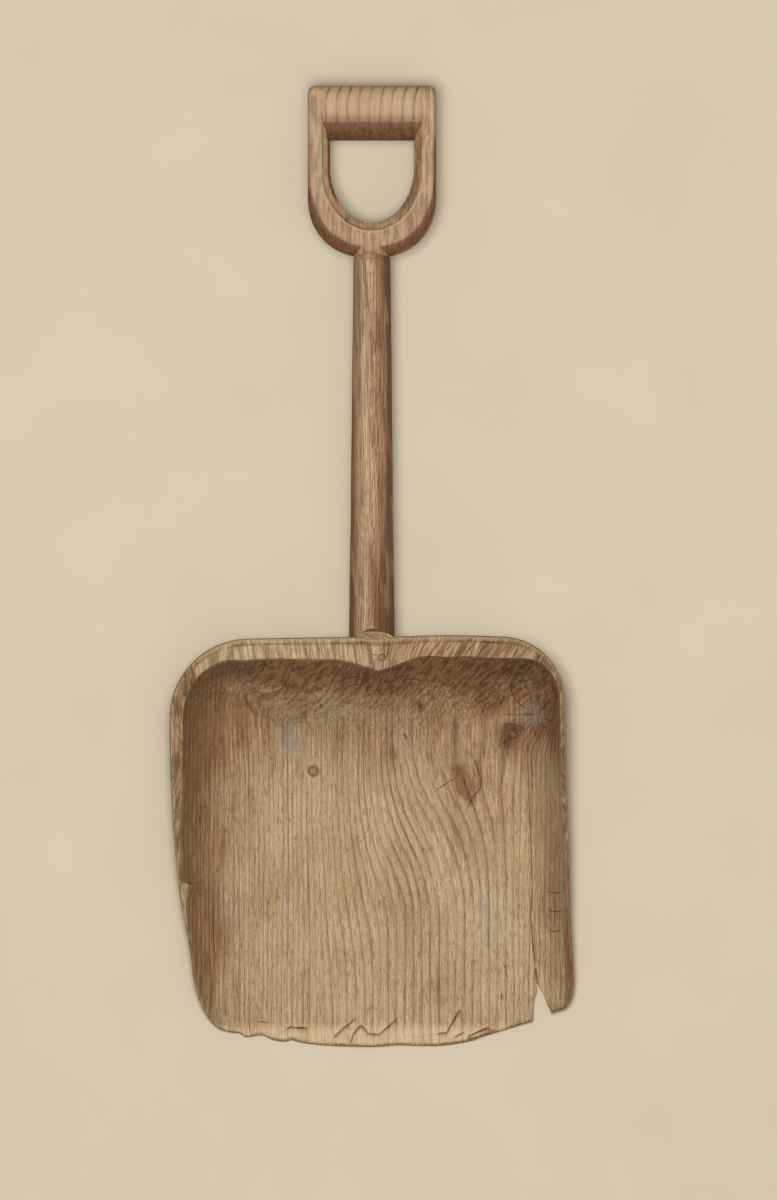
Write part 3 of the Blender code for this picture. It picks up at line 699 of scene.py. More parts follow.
def sweep(x, y):
    """How far a ring line has drifted to the left of where it leaves the lip, in metres."""
    low = -0.335 - 0.105 * (1 - ease((x + 0.075) / 0.125))
    high = -0.160 - 0.055 * (1 - ease((x + 0.075) / 0.125))
    right = ((x - 0.048) / 0.084).clip(0, 1)
    across = ease((x + 0.085) / 0.130) * (1 - 0.6 * right - 0.4 * ease(right))
    return 0.050 * across * ease((y - low) / (high - low))


def ring_count(across):
    """Shells passed since the left side: close there and on the far right, wide in between."""
    places = np.linspace(-0.35, 0.35, 701)
    gap = 0.0046 + 0.0034 * ease((places + 0.095) / 0.080) - 0.0030 * ease((places - 0.128) / 0.014)
    return np.interp(across, places, np.cumsum(0.001 / gap))


def pan_fields(x, y, z, zone):
    """Ring counts, and places across the grain, along it and into the wood."""
    rise = np.clip(z - floor_height(y), 0, None)
    drift = sweep(x, y)
    lean = 0.5 * x * rise + 0.0016 * mottle(x, y, 0.030, 0.11, 41) + 0.0007 * mottle(x, y, 0.010, 0.05, 42)
    swirl = bump(np.hypot((x - 0.098) / 0.8, y + 0.215), 0.062)
    rings = ring_count(x + drift + lean + 0.005 * swirl * mottle(x + 0.4 * y, y, 0.026, 0.036, 43))
    turn = np.arctan2(y - KNOT[1], x - KNOT[0])
    pull = bump(np.hypot(x - KNOT[0], (y - KNOT[1]) * 0.85), KNOT_REACH)
    rings = rings * (1 - pull) + (ring_count(KNOT[0]) + KNOT_LINES * turn / (2 * pi)) * pull
    lean_x = (x - EYE[0]) * 0.64 + (y - EYE[1]) * 0.77
    lean_y = (y - EYE[1]) * 0.64 - (x - EYE[0]) * 0.77
    near = np.hypot(lean_x * 0.6, lean_y * 1.25)
    eye = bump(near, EYE_REACH)
    rings = rings * (1 - eye) + near / EYE_RING * eye
    across = x + 0.6 * drift + lean
    on_rim = np.abs(zone - 0.5) < 0.51
    edge = rim_run(x, y)
    rings = np.where(on_rim, (edge + 0.0012 * mottle(x, y, 0.006, 0.006, 44)) / RIM_RING, rings)
    return rings, np.stack([np.where(on_rim, edge, across), y + 0.5 * rise, 0.3 * z], 1)


def rim_run(x, y):
    """Place across the gouge's strokes on the rim. They lean a little on the left, far over on the right."""
    lean = 0.15 - 0.60 * ease((x + 0.02) / 0.08)
    return x + lean * (y + 0.075) * ease((y + 0.230) / 0.06)


def tool_strokes(x, y, z, zone):
    """Where the adze and gouge show, and places across and along their strokes."""
    inside = ease((zone - 1.0) / 0.06)
    back = ease((y + 0.160 + 0.010 * mottle(x, y, 0.006, 0.03, 47)) / 0.050)
    hewn = inside * back * (1 - 0.6 * ease((-0.105 - x) / 0.03))
    angle = radians(50) + radians(8) * mottle(x, y, 0.04, 0.04, 45)
    across = y * np.cos(angle) - x * np.sin(angle)
    along = x * np.cos(angle) + y * np.sin(angle)
    on_rim = np.abs(zone - 0.5) < 0.51
    rim_hewn = (0.25 + 0.75 * ease((zone - 0.14) / 0.10)) * ease((y + 0.42) / 0.05)
    hewn = np.where(on_rim, rim_hewn, hewn)
    across = np.where(on_rim, rim_run(x, y), across)
    along = np.where(on_rim, 0.4 * (x * 0.3 + y), along)
    return hewn, np.stack([across, along, 0.15 * z], 1)


x, y, z = positions(pan).T
pan_zone = read(pan, "zone")
pan_rings, pan_grain = pan_fields(x, y, z, pan_zone)
store(pan, "rings", pan_rings)
store(pan, "grain", pan_grain)
for layer, values in zip(("hewn", "strokes"), tool_strokes(x, y, z, pan_zone), strict=True):
    store(pan, layer, values)
print("rings across the pan:", round(float(np.ptp(pan_rings)), 1))

# %% [markdown]
# ## How the pan aged, and where shade is painted on it
# Painted shade darkens the hollow's back and side walls, the lip's edge and its chips. Dirt and handling
# darken every cut face, scraping keeps the lip bare and pale, and damp has turned a few streaks grey. Each
# could be a painted mask. Here each is one value on every point, worked out from where the point lies, so it
# can be changed a number at a time.

# %% Staining and painted shade, greying and wear of the pan
LIP_CHIPS = [  # a line of (x, y) points each: the wood between it and the lip has broken away
    [(-0.0815, -0.441), (-0.078, -0.437), (-0.063, -0.4385), (-0.060, -0.443)],
    [(-0.0365, -0.449), (-0.029, -0.441), (-0.0157, -0.4308), (-0.0150, -0.438), (-0.0195, -0.447)],
    [(-0.0185, -0.446), (-0.0105, -0.436), (-0.0040, -0.444), (0.0070, -0.4454), (0.0247, -0.4294),
     (0.0256, -0.452)],
    [(0.0620, -0.445), (0.0720, -0.4436), (0.0750, -0.437), (0.0838, -0.4215), (0.0860, -0.430),
     (0.0880, -0.445)],
    [(0.0900, -0.447), (0.0960, -0.444), (0.1100, -0.4385), (0.1180, -0.441)]]
DARK_PATCHES = [  # x, y, reach and strength: round the knot, on the boss, and among the swirling rings
    (0.128, -0.158, 0.018, 0.7), (0.118, -0.128, 0.018, 0.6), (0.142, -0.120, 0.012, 0.9),
    (0.167, -0.131, 0.009, 1.3), (0.134, -0.159, 0.006, 1.2), (0.160, -0.155, 0.012, 0.8),
    (0.138, -0.168, 0.008, 0.9), (0.046, -0.132, 0.010, 0.8), (0.100, -0.118, 0.030, 0.6),
    (0.108, -0.205, 0.022, 0.5), (0.088, -0.205, 0.055, 0.4), (-0.009, -0.075, 0.009, 0.5),
    (0.013, -0.080, 0.008, 0.6), (0.002, -0.086, 0.006, 0.5)]
GREY_PATCHES = [
    (-0.078, -0.155, 0.036, 1.0), (-0.030, -0.130, 0.026, 0.7), (0.036, -0.164, 0.030, 0.35),
    (0.153, -0.140, 0.015, 1.2), (-0.110, -0.320, 0.050, 0.6), (0.110, -0.340, 0.040, 0.4)]


def patches(x, y, spots):
    """The sum of soft round patches of (x, y, reach, strength)."""
    return sum(strength * bump(np.hypot(x - px, y - py), reach) for px, py, reach, strength in spots)


def lip_chips(x, y):
    """For each chip: how far a point lies past its break, and 1 within its length."""
    for line in map(np.array, LIP_CHIPS):
        past = np.interp(x, *line.T, left=-1, right=-1) - y
        yield past, ease((x - line[0, 0]) / 0.003) * ease((line[-1, 0] - x) / 0.003)


def chip_shade(x, y):
    """Darkest just inside the break of each chip at the lip, fading towards the edge."""
    shade = 0 * x
    for past, within in lip_chips(x, y):
        shade = np.maximum(shade, within * ease(past / 0.0012) * (1 - ease((past - 0.001) / 0.007)))
    return shade


def pan_states(x, y, zone):
    """Staining and painted shade, wear, and greying, each from 0 to 1."""
    inside = ease((zone - 1.0) / 0.06)
    down = (zone - 1).clip(0, 1)
    on_rim = 1 - ease((np.abs(zone - 0.5) - 0.46) / 0.08)
    top = zone > 0.3
    flaked = (x < -0.150) * on_rim * ease((CHIP_Y - y) / 0.0035) * ease((y + 0.345) / 0.02)
    slant = x - 0.6 * y

    # painted shade down the hollow's back and side walls, deepest just under the back rim; the outside and
    # underside darkened evenly
    ragged = 0.016 * mottle(x, y, 0.0045, 0.05, 58)
    back = ease((y + 0.238 + ragged) / 0.110) * (1 - 0.45 * bump(zone - 1.58, 0.42))
    left = ease((-0.082 - x + 0.4 * ragged) / 0.100) * (0.75 + 0.25 * ease((y + 0.46) / 0.12))
    right = ease((x - 0.136) / 0.022)
    stain_and_shade = np.maximum.reduce([0.72 * back, 0.80 * left, 0.22 * right]) + 0.40 * (1 - down) * back
    stain_and_shade = stain_and_shade * inside + 0.30 * (zone < -0.5) + on_rim * (0.20 + 0.10 * ease(x / 0.02))

    # the rim: darker down both sides, with slanting streaks
    stain_and_shade = stain_and_shade + on_rim * np.maximum(0.36 * ease((-0.155 - x) / 0.025), 0.33 * ease((x - 0.150) / 0.02))
    hatch = ease(mottle(x + 0.5 * y, y, 0.0040, 0.009, 60) / 0.7)
    stain_and_shade = stain_and_shade + 0.60 * on_rim * ease((-0.150 - x) / 0.02) * hatch
    # painted shade down the right rim's outer edge towards the lip
    stain_and_shade = stain_and_shade + 0.40 * ease((x - 0.1830) / 0.003) * ease((-0.275 - y) / 0.03) * (zone > -0.5)
    hatch = ease((mottle(slant, y, 0.0045, 0.020, 56) + 0.2) / 0.9)
    stain_and_shade = stain_and_shade + 0.36 * on_rim * ease((x - 0.02) / 0.07) * hatch
    stain_and_shade = stain_and_shade + 0.30 * on_rim * ease((mottle(slant, y, 0.0070, 0.022, 57) + 0.1) / 0.8)

    # the floor: single patches, bands that follow the swirling rings, and faint clouds
    stain_and_shade = stain_and_shade + 0.40 * patches(x, y, DARK_PATCHES)
    bands = bump(np.hypot((x - 0.098) / 0.8, y + 0.212), 0.078)
    stain_and_shade = stain_and_shade + 0.8 * bands * ease((mottle(x + sweep(x, y), y, 0.0050, 0.042, 59) - 0.05) / 0.5)
    stain_and_shade = stain_and_shade + 0.25 * inside * ease((mottle(x, y, 0.016, 0.045, 51) - 0.1) / 0.7) * (1 - 0.6 * left)

    # the edges: painted shade along the lip and inside the chips, a darker split-off strip, and the rim's
    # outer line
    from_lip = y - np.interp(x, *np.array(LIP).T, left=-1, right=-1)
    edge = (1 - ease((from_lip - 0.0002) / 0.0014)) * (zone > -0.5)
    stain_and_shade = stain_and_shade + 0.15 * ease((x - 0.1535) / 0.002) * ease((-0.250 - y) / 0.070) * top
    outer_line = bump(zone - 0.18, 0.10) * ease((y + 0.26) / 0.06)
    stain_and_shade = stain_and_shade + 0.95 * outer_line * (0.6 + 0.4 * mottle(x, y, 0.01, 0.01, 46))
    stain_and_shade = stain_and_shade * (1 - 0.6 * flaked) + 0.70 * edge + 0.50 * chip_shade(x, y) * top

    lip = ease((-0.432 - y) / 0.012)
    wear_and_highlight = 0.10 * on_rim + 0.85 * lip * ease((zone - 0.5) / 0.4) + 0.22 * flaked
    streaky = ease((mottle(x, y, 0.0050, 0.045, 48) + 0.2) / 0.8)
    grey = 1.2 * patches(x, y, GREY_PATCHES) * inside * streaky
    return stain_and_shade.clip(0, 1), wear_and_highlight.clip(0, 1), grey.clip(0, 0.55)


for layer, values in zip(("stain_and_shade", "wear_and_highlight", "grey"), pan_states(x, y, pan_zone), strict=True):
    store(pan, layer, values)
not_under = pan_zone > -0.05
cut_side, cut_width = mark_fields(x, y, SCRATCHES, BITES)
store(pan, "cut_side", np.where(not_under, cut_side, FAR))
store(pan, "cut_width", np.where(not_under, cut_width, NO_MARK))
print("points on a mark:", int((not_under & (np.abs(cut_side) < cut_width)).sum()))

# %% Chips at the lip, cuts in the rim and the dapple of the adze
CHIP_DEPTH, CUT_DEPTH, DAPPLE_DEPTH, FLOOR_WAVE, KNOT_LIFT = 0.0024, 0.0008, 0.0007, 0.00022, 0.0016


def sculpt(obj, zone):
    """Moves the points for what is too deep to leave to the finish's relief."""
    x, y, z = positions(obj).T
    top = (zone > 0.3)
    drop = 0 * x
    for past, within in lip_chips(x, y):
        rough = 1 + 0.3 * mottle(x, y, 0.005, 0.005, 52)
        drop = drop + within * CHIP_DEPTH * ease(past / 0.0022) * rough
    for x0, y0, x1, y1, width in RIM_CUTS:
        away = np.stack([x - x0 * MM, y - y0 * MM])
        path = np.array([x1 - x0, y1 - y0]) * MM
        share = (path @ away) / (path @ path)
        off = np.hypot(*(away - path[:, None] * share.clip(0, 1)))
        drop = drop + CUT_DEPTH * width * bump(off, 0.0030) * (zone < 1.2)
    z = np.where(top, np.maximum(z - drop, np.minimum(z, 0.0026)), z)
    dapple = ((zone > 1.04) & (zone < 2.0)) * ease((y + 0.180) / 0.05)
    y = y - DAPPLE_DEPTH * dapple * mottle(x + 0.3 * z, z - 0.3 * x, 0.0075, 0.0110, 53)
    floor = ease((zone - 1.7) / 0.3)
    z = z + FLOOR_WAVE * floor * mottle(x + 0.3 * y, y, 0.024, 0.090, 54)
    lift = bump(np.hypot(x - KNOT[0], y - KNOT[1]), 0.026) * ease((zone - 1.02) / 0.1)
    z = z + KNOT_LIFT * lift * mottle(x, y, 0.0060, 0.0060, 55)
    set_positions(obj, np.stack([x, y, z], 1))


sculpt(pan, pan_zone)
print("pan's highest point:", round(float(positions(pan)[:, 2].max()) / MM, 1), "mm")

# %% [markdown]
# ## The shaft
# The shaft was shaved round with a drawknife and spokeshave, which leaves long narrow flats. A stretched
# cylinder would have neither its taper nor its rounded top. It is swept along its axis by a small node
# tree instead, so its whole outline is one list of radii that can be redrawn.

# %% Sweep the shaft
SHAFT = [  # y and radius, from the rounded top down to the tenon inside the pan
    (0.3035, 0.0040), (0.3025, 0.0085), (0.3000, 0.0130), (0.2965, 0.0160), (0.2920, 0.01765),
    (0.2860, 0.01790), (0.2400, 0.01825), (0.2000, 0.01875), (0.0800, 0.0200), (-0.0100, 0.0211),
    (-0.0535, 0.02185), (-0.0700, 0.02185), (-0.0702, 0.0140), (-0.0970, 0.0125), (-0.0972, 0.0020)]
SIDES, LENGTHS = 112, 300


def sweep_tree():
    """Turns a line along +Y into a rod: each point's `thick` value is the rod's radius there."""
    tree = bpy.data.node_groups.new("sweep a rod", "GeometryNodeTree")
    tree.interface.new_socket("Geometry", in_out="INPUT", socket_type="NodeSocketGeometry")
    for name, kind in (("Sides", "NodeSocketInt"), ("Finish", "NodeSocketMaterial")):
        tree.interface.new_socket(name, in_out="INPUT", socket_type=kind)
    tree.interface.new_socket("Geometry", in_out="OUTPUT", socket_type="NodeSocketGeometry")
    given, made = tree.nodes.new("NodeGroupInput"), tree.nodes.new("NodeGroupOutput")
    line = add(tree, "GeometryNodeMeshToCurve", [("Mesh", given.outputs["Geometry"])])
    thick = add(tree, "GeometryNodeInputNamedAttribute", [("Name", "thick")], data_type="FLOAT")
    ring = add(tree, "GeometryNodeCurvePrimitiveCircle", [("Resolution", given.outputs["Sides"]),
                                                          ("Radius", 1.0)])
    rod = add(tree, "GeometryNodeCurveToMesh", [("Curve", line.outputs[0]),
                                                ("Profile Curve", ring.outputs[0]),
                                                ("Scale", thick.outputs[0]), ("Fill Caps", True)])
    whole = add(tree, "GeometryNodeRealizeInstances", [("Geometry", rod.outputs[0])])
    shown = add(tree, "GeometryNodeSetMaterial", [("Geometry", whole.outputs[0]),
                                                  ("Material", given.outputs["Finish"])])
    tree.links.new(shown.outputs[0], made.inputs[0])
    return tree


def sweep_rod(name, profile, sides, count, finish):
    """A rod along +Y at the shaft's height, from (y, radius) pairs."""
    profile = np.array(profile)[::-1]
    y = np.unique(np.concatenate([np.linspace(profile[0, 0], profile[-1, 0], count), profile[:, 0]]))
    line = make_mesh(name, np.stack([0 * y, y, 0 * y + AXIS_Z], 1), np.zeros((0, 4), int))
    line.data.edges.add(len(y) - 1)
    ends = np.stack([np.arange(len(y) - 1), np.arange(1, len(y))], 1)
    line.data.edges.foreach_set("vertices", ends.ravel())
    store(line, "thick", np.interp(y, *profile.T))
    nodes = line.modifiers.new("sweep", "NODES")
    nodes.node_group = sweep_tree()
    sockets = {s.name: s.identifier for s in nodes.node_group.interface.items_tree if s.in_out == "INPUT"}
    nodes[sockets["Sides"]] = sides
    nodes[sockets["Finish"]] = finish
    apply_modifiers(line)
    return line


shaft = sweep_rod("shaved_shaft", SHAFT, SIDES, LENGTHS, handle_finish)
print("shaft:", len(shaft.data.vertices), "points, thickest",
      round(float(np.ptp(positions(shaft)[:, 0])) / MM, 1), "mm")

# %% Shave it, and cut its lap and the slit in front of the tongue
SLIT_DEPTH = 0.0030
SLIT_Z = LAP_Z - SLIT_DEPTH


def shave(obj):
    """Long flats and slight lumps, on all but the tenon."""
    x, y, z = positions(obj).T
    z = z - AXIS_Z
    radius, turn = np.hypot(x, z), np.arctan2(z, x)
    flats = 0.00022 * np.abs(np.cos(6.5 * turn + 0.8 * mottle(y, 0 * y, 0.12, 1, 61)))
    lumps = 0.00028 * mottle(turn * 0.03, y, 0.03, 0.045, 62)
    free = ease((radius - 0.0150) / 0.002)
    radius = radius - (flats + lumps.clip(-1, 0.0003)) * free
    set_positions(obj, np.stack([radius * np.cos(turn), y, AXIS_Z + radius * np.sin(turn)], 1))


shave(shaft)
lap = [(-0.03, LAP_Y), (-0.03, -0.12), (0.03, -0.12), (0.03, LAP_Y)]
cut(shaft, prism("lap", lap, LAP_Z, ABOVE))
t = np.linspace(-1, 1, 17)
slit = [(0.0018 + 0.0112 * u, -0.0615 + 0.0034 * (1 - u * u)) for u in t]
slit = slit + [(0.0120, -0.0640), (-0.0084, -0.0640)]
cut(shaft, prism("slit", slit[::-1], SLIT_Z, ABOVE))
x, y, z = positions(shaft).T
in_slit = (np.abs(z - SLIT_Z) < 0.0001) & (np.abs(x) < 0.015) & (np.abs(y + 0.0615) < 0.004)
print("points at the bottom of the slit:", int(in_slit.sum()))

# %% Lay in its rings, and painted shade on its sides
SHAFT_RING = 0.0015
z = z - AXIS_Z
up = z / np.hypot(x, z).clip(0.001)  # 1 on top, 0 at the sides
drift = 0.0008 * mottle(x, y, 0.02, 0.09, 63) + 0.0004 * mottle(x, y, 0.008, 0.04, 64)
heart = 0.95 * up * np.interp(y, *np.array(SHAFT)[::-1].T) - 0.30 * x
rings = heart + 0.130 * y + drift + 0.25 * x * ease((y - 0.08) / 0.1)
store(shaft, "rings", rings / SHAFT_RING)
store(shaft, "grain", np.stack([x + 0.6 * drift, 0.5 * y, z + 0.01 * y], 1))
side = 1 - up.clip(0, 1)
slant = x + 0.10 * y
# painted shade: darker down both sides of the round shaft and over its right half, turned from the light;
# mottled streaks, a dark patch high on the left and a darkening towards the pan come on top
stain_and_shade = 0.80 * ease(side / 0.75) + 0.30 * (x > 0) * ease(side / 0.5)
stain_and_shade = stain_and_shade + 0.40 * ease(mottle(slant, y, 0.0070, 0.045, 65) / 0.9) + 0.27 * ease((x - 0.001) / 0.007)
stain_and_shade = stain_and_shade + 0.45 * bump(x + 0.0125, 0.0065) * bump(y - 0.270, 0.030) + 0.22 * ease((0.10 - y) / 0.10)
rubbed = ease(side / 0.3) * ease((mottle(slant, y, 0.0035, 0.030, 67) + 0.1) / 0.8)
# the bottom of the slit is painted fully dark: a painted shadow
store(shaft, "stain_and_shade", np.where(in_slit, 1.0, stain_and_shade.clip(0, 1) * (1 - 0.42 * rubbed)))
# a pale strip just left of the top is a painted highlight
store(shaft, "wear_and_highlight", 0.6 * bump(x + 0.006 + 0.002 * mottle(y, 0 * y, 0.05, 1, 66), 0.0065) * (z > 0))
store(shaft, "cut_side", 0 * x)  # on the line everywhere, so that the fibres alone draw hairline checks
# the deep colour of a cut also fills the bottom of the slit, more painted shadow
store(shaft, "cut_width", np.where(in_slit, 6.0, NO_MARK))
print("rings down the shaft:", round(float(np.ptp(rings)) / SHAFT_RING))

# %% [markdown]
# ## The D grip
# The grip is one board, pierced by a D-shaped hole and rounded all round for the hand. Its front and back
# meet the hole in a bevel: narrow down the arms and round the foot, and very wide under the hand bar, where
# the fingers close. The two widths meet in a mitre at the upper corners, as in a picture frame.
#
# A bent rod pinches at corners as tight as these, and a bevel modifier has one width. So the board is
# lofted: matching points on the outside and on the hole are joined by rows that carry the bevel's width
# for their own stretch.

# %% Loft the grip round its opening
GRIP_TOP, GRIP_HALF_WIDTH, GRIP_CORNER = 0.457, 0.0608, 0.0075
YOKE_BEND, FOOT, YOKE_POWER = 0.3525, 0.2936, 2.25
OPEN_TOP, OPEN_HALF_WIDTH, OPEN_BEND, OPEN_FOOT = 0.4050, 0.0397, 0.3790, 0.3273
BAR_STEPS, ARM_STEPS, FOOT_STEPS = 70, 34, 110
HALF_THICK = 0.0164
BAR_BEVEL, ARM_BEVEL, ARM_DROP = 0.0178, 0.0088, 0.0070


def grip_loops():
    """Matching points on the grip's outside and its opening, anticlockwise from the right end of the bar."""
    t = np.linspace(0, 1, BAR_STEPS, endpoint=False)
    bar = (np.stack([GRIP_HALF_WIDTH * (1 - 2 * t), 0 * t + GRIP_TOP], 1),
           np.stack([OPEN_HALF_WIDTH * (1 - 2 * t), 0 * t + OPEN_TOP], 1))

    def arm(side, t):
        """One upright stretch, on the left (-1) or the right (1)."""
        return (np.stack([0 * t + side * GRIP_HALF_WIDTH, GRIP_TOP + t * (YOKE_BEND - GRIP_TOP)], 1),
                np.stack([0 * t + side * OPEN_HALF_WIDTH, OPEN_TOP + t * (OPEN_BEND - OPEN_TOP)], 1))

    left = arm(-1, np.linspace(0, 1, ARM_STEPS, endpoint=False))
    right = arm(1, np.linspace(1, 0, ARM_STEPS, endpoint=False))
    a = pi + pi * np.linspace(0, 1, FOOT_STEPS, endpoint=False)
    wide, low = np.cos(a), np.abs(np.sin(a))
    foot = (np.stack([GRIP_HALF_WIDTH * np.sign(wide) * np.abs(wide)**(2 / YOKE_POWER),
                      YOKE_BEND - (YOKE_BEND - FOOT) * low**(2 / YOKE_POWER)], 1),
            np.stack([OPEN_HALF_WIDTH * wide, OPEN_BEND - (OPEN_BEND - OPEN_FOOT) * low], 1))
    outer = np.concatenate([bar[0], left[0], foot[0], right[0]])
    inner = np.concatenate([bar[1], left[1], foot[1], right[1]])

    # the two upper corners are rounded by pulling their points in to a circle
    core = np.stack([outer[:, 0].clip(-GRIP_HALF_WIDTH + GRIP_CORNER, GRIP_HALF_WIDTH - GRIP_CORNER),
                     outer[:, 1].clip(None, GRIP_TOP - GRIP_CORNER)], 1)
    away = outer - core
    size = np.hypot(*away.T)[:, None]
    corner = (outer[:, 1] > GRIP_TOP - GRIP_CORNER - 1e-6)[:, None] & (size > 1e-9)
    outer = np.where(corner, core + away * np.minimum(1, GRIP_CORNER / np.maximum(size, 1e-9)), outer)
    return outer, inner


def join_up(mesh, distance):
    """Merges the points that touch, and turns every face outwards."""
    bm = bmesh.new()
    bm.from_mesh(mesh)
    bmesh.ops.remove_doubles(bm, verts=bm.verts, dist=distance)
    bmesh.ops.recalc_face_normals(bm, faces=bm.faces)
    bm.to_mesh(mesh)
    bm.free()


def grip_shape():
    """The lofted board. On its points: `side`, 1 on the hand bar and 0 elsewhere; `inset` from its outside;
    and `ledge`, the distance past the bevel's upper edge. The last two are in metres."""
    outer, inner = grip_loops()
    n = len(outer)
    width = np.hypot(*(inner - outer).T)
    at_bar = ((inner[:, 1] > OPEN_TOP - 1e-6) & (np.abs(inner[:, 0]) <= OPEN_HALF_WIDTH)).astype(float)
    at_foot = ease((YOKE_BEND - outer[:, 1]) / 0.045)
    middle = at_bar * ease((OPEN_HALF_WIDTH - np.abs(inner[:, 0])) / 0.010)
    half = HALF_THICK + 0.0012 * middle
    round_off = 0.0060 + 0.0050 * at_foot + 0.0030 * middle
    toward = (inner - outer) / width[:, None]
    rim_way = np.where(at_bar[:, None] > 0.5, (1.0, 0.0), np.roll(inner, -1, axis=0) - inner)
    square_on = np.abs(toward[:, 0] * rim_way[:, 1] - toward[:, 1] * rim_way[:, 0]) / np.hypot(*rim_way.T)
    bevel = np.where(at_bar > 0.5, BAR_BEVEL, ARM_BEVEL) / square_on
    drop = np.where(at_bar > 0.5, half, ARM_DROP)

    # the front, from mid-thickness over the rounded outside, the face and the bevel to mid-thickness again
    rows = [(0 * width, half * 0)]
    for k in range(12):
        a = pi / 2 * k / 11
        rows.append((round_off * (1 - np.cos(a)), half - round_off * 0.95 * (1 - np.sin(a))))
    for t in np.arange(1, 9) / 9:
        rows.append((round_off + t * (width - round_off - bevel), half + 0.0003 * np.sin(pi * t)))
    for t in np.arange(13) / 12:
        rounded = (width - bevel + bevel * np.sin(pi / 2 * t), half - drop * (1 - np.cos(pi / 2 * t)))
        flat = (width - bevel * (1 - t), half - drop * t)
        rows.append([np.where(at_bar > 0.5, a, b) for a, b in zip(rounded, flat, strict=True)])
    for t in np.arange(1, 4) / 4:
        rows.append((width, np.where(at_bar > 0.5, 0 * half, (half - drop) * (1 - t))))
    rows.append((width, 0 * half))

    # the back is the same rows the other way up
    insets = np.array([row[0] for row in rows] + [row[0] for row in rows[1:-1]][::-1])
    heights = np.array([row[1] for row in rows] + [-row[1] for row in rows[1:-1]][::-1])
    flat = outer[None] + toward[None] * insets[:, :, None]
    points = np.concatenate([flat, AXIS_Z + heights[:, :, None]], 2)
    index = np.arange(len(insets) * n).reshape(-1, n)
    a, b = index, np.roll(index, -1, axis=0)
    c, d = np.roll(b, -1, axis=1), np.roll(a, -1, axis=1)
    made = make_mesh("d_grip_board", points.reshape(-1, 3), np.stack([a, b, c, d], -1).reshape(-1, 4))
    store(made, "side", np.tile(at_bar, len(insets)))
    store(made, "inset", insets.ravel())
    store(made, "ledge", ((insets - (width - bevel)[None]) * square_on).ravel())
    join_up(made.data, 0.00003)
    return made


grip = grip_shape()
print("grip:", len(grip.data.vertices), "points")

# %% Its rings, and painted shade and highlights on its bevels and edges
BAR_RING, ARM_RING = 0.0104, 0.0040


def grip_rings(x, y, z):
    """Wide-set lines that bend over the hand bar, close ones down the arms and through the foot."""
    bar = ease((y - 0.396) / 0.010) * (1 - ease((np.abs(x) - 0.0460) / 0.0030))
    bend = 0.0042 * ((y - 0.4395) / 0.017).clip(0, 1)**1.6
    wide = (x - bend - 0.10 * (0.0176 - np.abs(z)) + 0.0008 * mottle(x, y, 0.02, 0.02, 72)) / BAR_RING
    close = (x + 0.0012 * mottle(x, y, 0.02, 0.06, 73)) / ARM_RING
    return wide * bar + close * (1 - bar) + 40


def grip_states(x, y, z, side, inset, ledge):
    """Staining with painted shade, and wear with painted highlights: painted shade under the bar, round the
    outside and foot and on the back, a painted highlight along the ridge of the bevel.
    """
    front = ease(z / 0.004)
    bar = side > 0.5
    low = ease((0.372 - y) / 0.040)
    # painted shade under the hand bar, where its bevel turns down from the light
    under = bar * np.maximum(ease((ledge + 0.0022) / 0.0040), 0.55 * ease((ledge + 0.0100) / 0.0100))
    # painted shade on the rounded outside, widest round the foot and kept clear beside the shaft
    outside = (1 - ease((inset - 0.0010 - 0.0068 * low) / (0.0040 + 0.0008 * low))) * (0.65 + 0.35 * low)
    outside = outside * np.where(x < 0, 0.45 + 0.55 * low, 1.0) * (1 - 0.45 * ease((y - 0.40) / 0.02))
    from_shaft = np.abs(x + 0.001) - 0.0080 - 0.95 * (0.3030 - y).clip(0)
    outside = outside * (1 - low * (1 - ease(from_shaft / 0.0030)))
    # a pale line along the lower right outer edge cuts the painted shade back: a painted highlight
    pale_edge = low * (x > 0) * (1 - ease((inset - 0.0050) / 0.0030)) * ease((x - 0.016) / 0.006)
    pale_rim = pale_edge * (1 - ease((inset - 0.0012) / 0.0012))
    outside = outside * (1 - 0.38 * pale_edge) * (1 - 0.40 * pale_rim)
    # painted shade on the arms' bevels: a crescent on the left arm, a lighter band on the right
    crescent = (~bar) * (x < 0) * ease((ledge - 0.0056) / 0.0010) * ease((y - 0.338) / 0.020)
    shaded = (~bar) * (x > 0) * ease((ledge - 0.0010) / 0.0020) * ease((y - 0.330) / 0.020)
    # the board's back is darkened too: painted shade
    stain_and_shade = np.maximum.reduce([1.0 * under, outside, 0.90 * crescent, 0.50 * shaded, 0.45 * (1 - front)])
    plain = 1 - 0.85 * ease((y - 0.402) / 0.008)
    stain_and_shade = stain_and_shade + 0.25 * ease(mottle(x, y, 0.006, 0.022, 74) / 0.8) * plain + 0.24 * low
    # a thin line of painted shade just past the ridge of the arms' bevels, stronger on the left
    stain_and_shade = stain_and_shade + (~bar) * bump(ledge - 0.0018, 0.0013) * np.where(x < 0, 0.45, 0.20)
    # a painted highlight along the ridge of the arms' and foot's bevels; on the bar's face, hand wear and a
    # painted highlight
    wear_and_highlight = 0.70 * (~bar) * bump(ledge, 0.0015) * ease((inset - 0.004) / 0.003) * (0.6 + 0.4 * low)
    wear_and_highlight = wear_and_highlight + 0.40 * bump(y - 0.438, 0.016) * (1 - ease((np.abs(x) - 0.040) / 0.016)) * (1 - under)
    return stain_and_shade.clip(0, 1), (wear_and_highlight * front).clip(0, 1)


